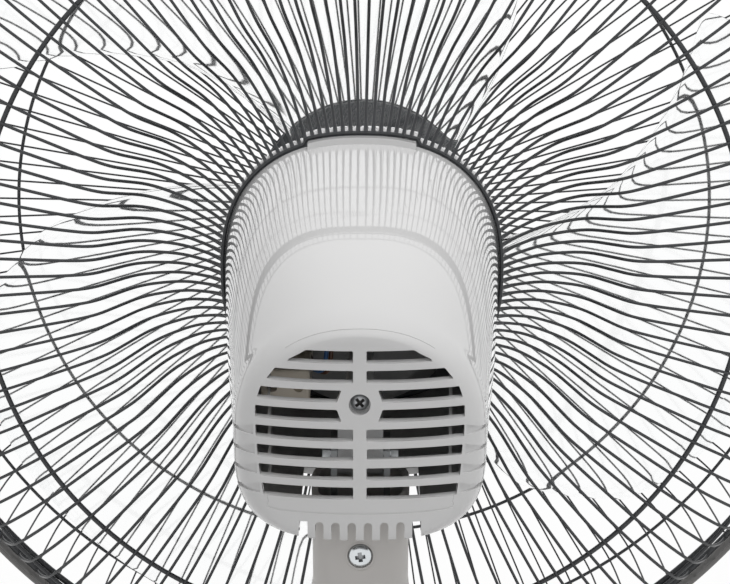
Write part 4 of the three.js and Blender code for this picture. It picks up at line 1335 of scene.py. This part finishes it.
def front_shield():
    bore = BEARING_R + GAP
    profile = [
        (bore, 9), (12, 9), (14, 13), (30, 13), (31, 6.4), (MOTOR_R, 6.4), (MOTOR_R, STACK_FRONT),
        (SHIELD_BORE, STACK_FRONT), (SHIELD_BORE, 20), (bore, 20),
    ]
    shield = lathe("front_shield", rounded(profile, 0.8, 2, True), ALLOY, sides=96, loop=True)
    spots = [polar(PLATE_SCREW_R, a) for a in turns(4, 0.5)]
    carve(shield, *[rod("way", "y", 2.3, 0, 17, spot, ALLOY, sides=16) for spot in spots])
    return settle(shifted(shield, HEAD), "head", "cast_metal", "motor_front_shield")


def rear_shield():
    """A dish with three windows, in a darker copy of the cast alloy that paints the shade inside
    the housing, and the post and seat behind it in the plain cast alloy.
    """
    bore = BEARING_R + GAP
    profile = [
        (bore, 74), (13, 74), (13, REAR_SEAT), (35, REAR_SEAT), (MOTOR_R, 63),
        (MOTOR_R, STACK_BACK), (SHIELD_BORE, STACK_BACK), (SHIELD_BORE, 64), (bore, 64),
    ]
    dish = lathe("rear_dish", rounded(profile, 0.8, 2, True), SHADED_ALLOY, sides=96, loop=True)
    spots = [polar(25, math.radians(degrees)) for degrees in (0, 90, 180)]
    carve(dish, *[rod("window", "y", 6.5, 50, 80, spot, ALLOY) for spot in spots])
    seat = bevel(block("seat", (-LUG_HALF, LUG_HALF), (65, 84), (-46, -34), ALLOY), 0.8)
    unite(seat, rod("post", "y", 5, 65, 104, SCREW_SPOT, ALLOY))
    carve(seat, rod("hole", "y", 2.3, 84, 120, SCREW_SPOT, ALLOY))
    whole = shifted(joined("rear_shield", dish, seat), HEAD)
    return settle(whole, "head", "cast_metal", "motor_rear_shield")


def capacitor():
    case = bevel(block("case", (-14, 14), (REAR_SEAT + GAP, 86), (15, 32), BEIGE), 1.6)
    return settle(shifted(case, HEAD), "head", "beige", "run_capacitor")


def terminal_block():
    """The moulded block beside the rear shield, where the leads are joined."""
    body = bevel(block("body", (20, 39.5), (66, 124), (-22.5, -8.5), BEIGE), 1.2)
    spots = ((24.5, -15.5), (35, -15.5))
    carve(body, *[rod("pocket", "y", 2.2, 119, 130, spot, BEIGE, sides=20) for spot in spots])
    body.name = "terminal_block"
    return settle(shifted(body, HEAD), "head", "beige")


def leads():
    """A blue and a brown lead from the rear winding to the capacitor, side by side."""
    route = [
        (25, 64.6, 0), (25, 78, -4), (20, 104, -12), (14, 116, -11), (12, 114, 0), (9, 102, 14),
        (8, 86.2, 24),
    ]
    path = spline(route, 8)
    beside = np.array((0.95, 0, 0.3))
    sides = ((1, LEAD_BLUE), (-1, LEAD_BROWN))
    pair = [tube("lead", path + side * beside, 0.92, colour) for side, colour in sides]
    return settle(shifted(joined("motor_lead_pair", *pair), HEAD), "head", "blue", "motor_leads")


# ---------------------------------------------------------------- screws


def screw_profile(dome, shank_radius, length):
    """A pan head, a short plain neck, a rolled thread and a tip."""
    pitch = 1.25
    thread = []
    for i in range(int((length - 3) / pitch)):
        crest = -2 - i * pitch
        thread += [(shank_radius, crest), (shank_radius, crest - 0.25)]
        thread.append((shank_radius * 0.82, crest - 0.8))
    tip = [(shank_radius * 0.8, -length + 0.8), (shank_radius * 0.3, -length), (0, -length)]
    return [*dome, (shank_radius, 0), (shank_radius, -1), *thread, *tip]


def screw(name, r, h, shank_radius, length, arms=0.6, finish=ZINC, recess=STEEL):
    """A pan-head screw with a cross recess and a rolled thread, along Y from its seat at zero.

    r and h are its head's radius and height, and arms the recess's reach as a share of the radius.
    """
    dome = [
        (0, h), (r * 0.35, h * 0.985), (r * 0.66, h * 0.86), (r * 0.87, h * 0.6),
        (r * 0.98, h * 0.28), (r, 0),
    ]
    body = lathe(name, screw_profile(dome, shank_radius, length), finish, sides=40, crease=38)
    half, width, floor = r * arms, r * 0.17, h - h * 0.75
    for wide, high in ((half, width), (width, half)):
        low_wide, low_high = (v * 0.6 if v > width else v for v in (wide, high))
        cross = []
        for level, x, z in ((h + 1, wide, high), (floor, low_wide, low_high)):
            cross.append([(-x, level, -z), (x, level, -z), (x, level, z), (-x, level, z)])
        carve(body, loft("cross", cross, finish), crease=38)
    # The faces sunk in the cross take the recess finish, darker than the head's: painted shade in
    # the recess.
    body.data.materials.append(recess)
    radii, levels = zip(*dome)
    for face in body.data.polygons:
        x, y, z = (c / MM for c in face.center)
        reach = math.hypot(x, z)
        sunk = np.interp(reach, radii, levels) - y
        face.material_index = int(y > 0.1 and reach < half and sunk > 0.12)
    return body


def in_head(x, y, z):
    return tuple(a + b for a, b in zip((x, y, z), HEAD))


def screws():
    """Each screw by its node, its sizes, its body, its place, and its turn about an axis."""
    back = in_head(0, HOUSING_BACK + 5 + GAP, BACK_SCREW_Z)
    throat = in_head(0, NECK_BACK - 0.9, NECK_SCREW_Z)
    rim = in_head(7 + GAP, *RIM_BOLT)
    rows = [
        ("housing_screw", (3.7, 2.4, 2, 48, 0.72, STEEL, RECESS_SHADE), "head", back, ("Y", 40)),
        ("neck_screw", (4.9, 2.5, 1.6, 39, 0.5), "neck", throat, ("Y", 8)),
        ("rim_screw", (3.4, 2.4, 2, 19), "head", rim, ("Z", -90)),
    ]
    for i, angle in enumerate(turns(4, 0.5), 1):
        x, z = polar(PLATE_SCREW_R, angle)
        place = in_head(x, PLATE_FRONT - GAP, z)
        rows.append((f"plate_screw_{i}", (4, 2.4, 2, 12), "head", place, ("X", 180)))
    for i, side in enumerate((-1, 1), 1):
        place = (0, SWING_Y + side * COLUMN_SCREW_OFFSET, BASE_TOP - WALL - GAP)
        rows.append((f"column_screw_{i}", (4, 2.4, 2, 18), "stand", place, ("X", -90)))
    for node, sizes, body, place, (axis, degrees) in rows:
        one = screw(f"{node}_cross", *sizes)
        one.data.transform(Matrix.Rotation(math.radians(degrees), 4, axis))
        settle(shifted(one, place), body, "zinc", node)


# ---------------------------------------------------------------- neck

# Height, half width, and the depths of the front and the rear.
NECK_STATIONS = (
    (NECK_FOOT, 27.5, 70.5, 129.5), (-133, 25.8, 72, 128), (-122, 22, 75.5, 124.5),
    (-110, 20, 77.5, 122.4), (-98, 19.6, NECK_FRONT, NECK_BACK),
    (NECK_TOP, 20, NECK_FRONT, NECK_BACK),
)
NECK_PARTING = (NECK_FRONT + NECK_BACK) / 2
NECK_SPOT = (0, NECK_SCREW_Z)


def level_ring(z, half_x, centre_y, half_y, exponent):
    """A level superellipse."""
    angles = turns(96, 0.5)
    x = half_x * signed_power(np.cos(angles), 2 / exponent)
    y = centre_y + half_y * signed_power(np.sin(angles), 2 / exponent)
    return np.stack((x, y, np.full(len(angles), float(z))), 1)


def neck_skin(inset):
    rings = []
    for z, half, front, back in spline(NECK_STATIONS, 4):
        middle, half_y = (front + back) / 2, (back - front) / 2 - inset
        rings.append(level_ring(z, half - inset, middle, half_y, NECK_POWER))
    if inset:
        rings[0] = rings[0] - (0, 0, 10)
        rings[-1] = rings[-1] + (0, 0, 10)
    return loft("neck_skin", rings, SATIN)


def neck_half(label, span, boss, *openings):
    shell = carve(neck_skin(0), neck_skin(WALL))
    shell.name = f"neck_shell_{label}"
    trim(shell, block("half", (-40, 40), span, (-160, -40), SATIN))
    unite(shell, boss)
    carve(shell, *openings)
    return settle(shifted(shell, HEAD), "neck", "satin_white", f"neck_{label}")


def neck():
    boss = rod("boss", "y", 4.6, NECK_FRONT + 1, 86, NECK_SPOT, SATIN)
    hole = rod("hole", "y", 1.9, NECK_FRONT + 3, 90, NECK_SPOT, SATIN)
    neck_half("front", (40, NECK_PARTING - GAP / 2), boss, hole)
    boss = rod("boss", "y", 6.4, 113.6, NECK_BACK - 1, NECK_SPOT, SATIN)
    hole = rod("hole", "y", 2, 84, 140, NECK_SPOT, SATIN)
    sink = rod("sink", "y", 5.3, NECK_BACK - 1.2, 140, NECK_SPOT, SATIN)
    section = [(5.9, 4), (5.9, -0.2), (6.3, -0.2), (6.3, 4)]
    line = lathe("line", section, SATIN, (0, NECK_BACK, NECK_SCREW_Z), loop=True)
    neck_half("rear", (NECK_PARTING + GAP / 2, 160), boss, hole, sink, line)


# ---------------------------------------------------------------- stand

SLOPE = math.atan2(PANEL_BACK[1] - PANEL_FRONT[1], PANEL_BACK[0] - PANEL_FRONT[0])
PANEL_MIDDLE = ((PANEL_FRONT[0] + PANEL_BACK[0]) / 2, (PANEL_FRONT[1] + PANEL_BACK[1]) / 2)
BASE_OUTSIDE = (
    (0, 3), (BASE_R - 0.8, 3), (BASE_R, 4), (BASE_R, 11), (146, 22), (134, 32), (118, BASE_TOP),
    (0, BASE_TOP),
)
BASE_INSIDE = (
    (0, 0), (BASE_R - WALL, 0), (BASE_R - WALL, 10), (143.6, 20.5), (132.6, 29.6),
    (117.4, BASE_TOP - WALL), (0, BASE_TOP - WALL),
)
KNOB_PROFILE = (
    (0, 1), (12.6, 1), (13, 1.5), (12.5, 8.4), (11.8, 10.2), (10.2, 11), (7, 11), (6, 10.7),
    (0, 10.6),
)
FOOT_PROFILE = (
    (0, 0.5), (8, 0.5), (8.6, 0), (11, 0), (11.6, 0.5), (12, 2.6), (11.8, 3.3), (0, 3.3),
)
INLET_PROFILE = (
    (2.6, 139), (5.8, 139), (5.8, 143.4), (4.5, 143.4), (4.5, 149), (4.1, 149.4), (2.6, 149.4),
)


def on_panel(obj):
    """Moves a shape from the panel's own frame, x across, y up its slope and z out of it."""
    turn = Matrix.Rotation(SLOPE, 4, "X")
    place = Matrix.Translation(Vector((0, *PANEL_MIDDLE)) * MM)
    obj.data.transform(place @ turn)
    return obj


def curve_through(start, corner, end):
    """Nine points from start to end, along a curve that bends towards the corner."""
    steps = np.linspace(0, 1, 9)[:, None]
    start, corner, end = (np.array(p, float) for p in (start, corner, end))
    return list((1 - steps) ** 2 * start + 2 * steps * (1 - steps) * corner + steps**2 * end)


def panel_skin(inset):
    """The wedge that carries the keys, with a round nose and brow."""
    (y0, z0), (y1, z1) = PANEL_FRONT, PANEL_BACK

    def slope_z(y):
        return z0 + (y - y0) * math.tan(SLOPE) - inset / math.cos(SLOPE)

    front = y0 - 6 + inset
    edge = (y0 + inset, slope_z(y0 + inset))
    nose = curve_through((front, z0 - 6), (front, z0 - 2 - inset), edge)
    bend, end = (y1 + 8 - inset, z1 + 2.6 - inset), (y1 + 12 - inset, z1 - 6 - inset)
    brow = curve_through((y1, slope_z(y1)), bend, end)
    low = 0 if inset else 12
    outline = [(front, low), *nose, *brow, (y1 + 22 - inset, low)]
    half = PANEL_HALF_WIDTH - inset
    wedge = prism("panel", outline, -half, half, GLOSS, axis="x", crease=40)
    trim(wedge, rod("round", "z", 124 - inset, -5, 90, (0, 0), GLOSS, sides=144), crease=40)
    return wedge


def key_places():
    return [FIRST_KEY_X + i * KEY_PITCH for i in range(len(KEY_NAMES))]


def key_outline(x, grow, radius):
    """A key's rounded outline on the panel, or its hole's."""
    half_x, half_y = (half + grow for half in KEY_HALF)
    left, right = x - half_x, x + half_x
    corners = [(left, -half_y), (right, -half_y), (right, half_y), (left, half_y)]
    return rounded(corners, radius, 3, True)


def base_cover():
    cover = lathe("base_cover_shell", rounded(BASE_OUTSIDE, 9, 6), GLOSS, axis="z", sides=180)
    unite(cover, bevel(panel_skin(0), 1.6, 3, 50, 40))
    inside = lathe("inside", rounded(BASE_INSIDE, 7, 4), GLOSS, axis="z", sides=120)
    carve(cover, inside, panel_skin(WALL))
    holes = []
    for x in key_places():
        outline = key_outline(x, 0.4, 1.4)
        holes.append(on_panel(prism("hole", outline, -20, 20, GLOSS, axis="z")))
    holes.append(on_panel(rod("hole", "z", 7, -20, 20, (KNOB_X, 0), GLOSS)))
    holes.append(rod("hole", "y", 4.9, 130, 160, (0, INLET_Z), GLOSS))
    for radius, offset in ((9, 0), (2.4, -COLUMN_SCREW_OFFSET), (2.4, COLUMN_SCREW_OFFSET)):
        holes.append(rod("hole", "z", radius, 20, 50, (0, SWING_Y + offset), GLOSS))
    carve(cover, *holes, crease=30)
    return settle(cover, "stand", "gloss_white", "base_cover")


def panel_marks():
    """Printed strokes by the keys, one to three for the speeds, and a scale round the timer."""
    strokes = []
    for count, x in zip(KEY_STROKES, key_places()):
        for k in range(count):
            middle = x + (k - (count - 1) / 2) * 3
            span = (middle - 0.45, middle + 0.45)
            strokes.append(block("stroke", span, (10.6, 13.4), INK_DEPTH, INK))
    for angle in np.radians(np.arange(-45, 226, 22.5)):
        c, s = math.cos(angle), math.sin(angle)
        inner, outer, half = 16.2, 18.6, 0.35
        corners = [(inner, -half), (outer, -half), (outer, half), (inner, half)]
        outline = [(KNOB_X + r * c - w * s, r * s + w * c) for r, w in corners]
        strokes.append(prism("tick", outline, *INK_DEPTH, INK, axis="z"))
    marks = on_panel(joined("panel_marks", *strokes))
    return settle(marks, "stand", "dark_plastic")


def keys():
    """Dished keycaps on stems. The first is dark."""
    for name, x in zip(KEY_NAMES, key_places()):
        material, slot = (DARK, "dark_plastic") if name == "off" else (KEYCAP, "satin_white")
        cap = prism("cap", key_outline(x, 0, 1.3), -3, 4, material, axis="z")
        bevel(cap, 0.7, 3, 60)
        profile = [(0, -3), (30, 0), (0, 40)]
        carve(cap, lathe("dish", profile, material, (x, 0, 6.3), axis="z", sides=96))
        unite(cap, block("stem", (x - 2, x + 2), (-2, 2), (-12, -2.5), material))
        cap.name = f"key_cap_{name}"
        settle(on_panel(cap), f"key_{name}", slot, f"key_{name}")


def timer_knob():
    knob = lathe("timer_grip", KNOB_PROFILE, KEYCAP, axis="z", sides=120)
    flute = rod("flute", "z", 1.5, 3, 20, (14, 0), KEYCAP, sides=20)
    carve(knob, round_array("flutes", flute, 24, (0, 0, 1)))
    unite(knob, rod("stem", "z", 3, -12, 2, (0, 0), KEYCAP))
    pointer = block("pointer", (-0.8, 0.8), (3.5, 9.8), (10.2, 14), KEYCAP)
    carve(knob, bevel(pointer, 0.3))
    grip = on_panel(shifted(knob, (KNOB_X, 0, 0)))
    return settle(grip, "timer_knob", "satin_white", "timer_knob")


def feet():
    for i, angle in enumerate(turns(4, 0.5), 1):
        place = (*polar(122, angle), 0)
        pad = lathe(f"foot_pad_{i}", FOOT_PROFILE, RUBBER, place, axis="z", sides=48)
        settle(pad, "stand", "rubber", f"foot_{i}")


# Height, half width and half depth.
COLUMN_STATIONS = (
    (BASE_TOP + 0.4, 46, 44), (39, 45.2, 43.4), (42, 43.4, 42.2), (48, 38, 39.2), (56, 33, 36.5),
    (68, 30, 33.6), (84, 28.5, 31.5), (140, 28, 30.4), (COLUMN_TOP - 1, 27.5, 29.5),
    (COLUMN_TOP, 26.9, 28.9),
)


def column_skin(inset):
    rings = []
    for z, half_x, half_y in COLUMN_STATIONS:
        exponent = mix(2.6, NECK_POWER, float(smoothstep((z - 42) / 60)))
        rings.append(level_ring(z, half_x - inset, SWING_Y, half_y - inset, exponent))
    if inset:
        rings.insert(0, rings[0] * (1, 1, 0))
        rings.append(rings[-1] + (0, 0, 20))
    return loft("column_skin", rings, GLOSS)


def column():
    spans = {"front": (-20, SWING_Y - GAP / 2), "rear": (SWING_Y + GAP / 2, 160)}
    for side, (label, span) in zip((-1, 1), spans.items()):
        shell = carve(column_skin(0), column_skin(WALL))
        shell.name = f"column_shell_{label}"
        trim(shell, block("half", (-80, 80), span, (0, 300), GLOSS))
        spot = (0, SWING_Y + side * COLUMN_SCREW_OFFSET)
        boss = rod("boss", "z", 5, BASE_TOP + 0.4, 58, spot, GLOSS)
        unite(shell, trim(boss, column_skin(0)))
        carve(shell, rod("hole", "z", 2.3, 20, 54, spot, GLOSS))
        settle(shell, "stand", "gloss_white", f"column_{label}")


def cord_inlet():
    """The empty inlet's sleeve, with a collar inside the wall."""
    sleeve = lathe("inlet_sleeve", INLET_PROFILE, RUBBER, (0, 0, INLET_Z), sides=48, loop=True)
    return settle(sleeve, "stand", "rubber", "cord_inlet")


# ---------------------------------------------------------------- what stays from the solids

KEPT = {
    STEEL: ("tilt_fork", "swing_shaft", "base_weight", "swing_motor", "rotor_core"),
    ZINC: ("tilt_pin", "tilt_nut", "rim_nut", "motor_shaft"),
    ALLOY: ("tilt_lug",),
    BRONZE: ("front_bearing", "rear_bearing"),
    DARK: (
        "guard_mount_plate", "badge_backing", "swing_bearing", "key_switch_block", "timer_module",
    ),
}


def dress_solids():
    for material, names in KEPT.items():
        for name in names:
            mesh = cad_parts[name].data
            mesh.materials.clear()
            mesh.materials.append(material)


set_the_stage()
dress_solids()
motor_housing()
front_cover()
guards()
rim_band()
badge_cap()
impeller()
spinner_nut()
laminations()
winding("front", 20.6, STACK_FRONT)
winding("rear", STACK_BACK, 63.4)
front_shield()
rear_shield()
capacitor()
terminal_block()
leads()
screws()
neck()
base_cover()
panel_marks()
keys()
timer_knob()
feet()
column()
cord_inlet()
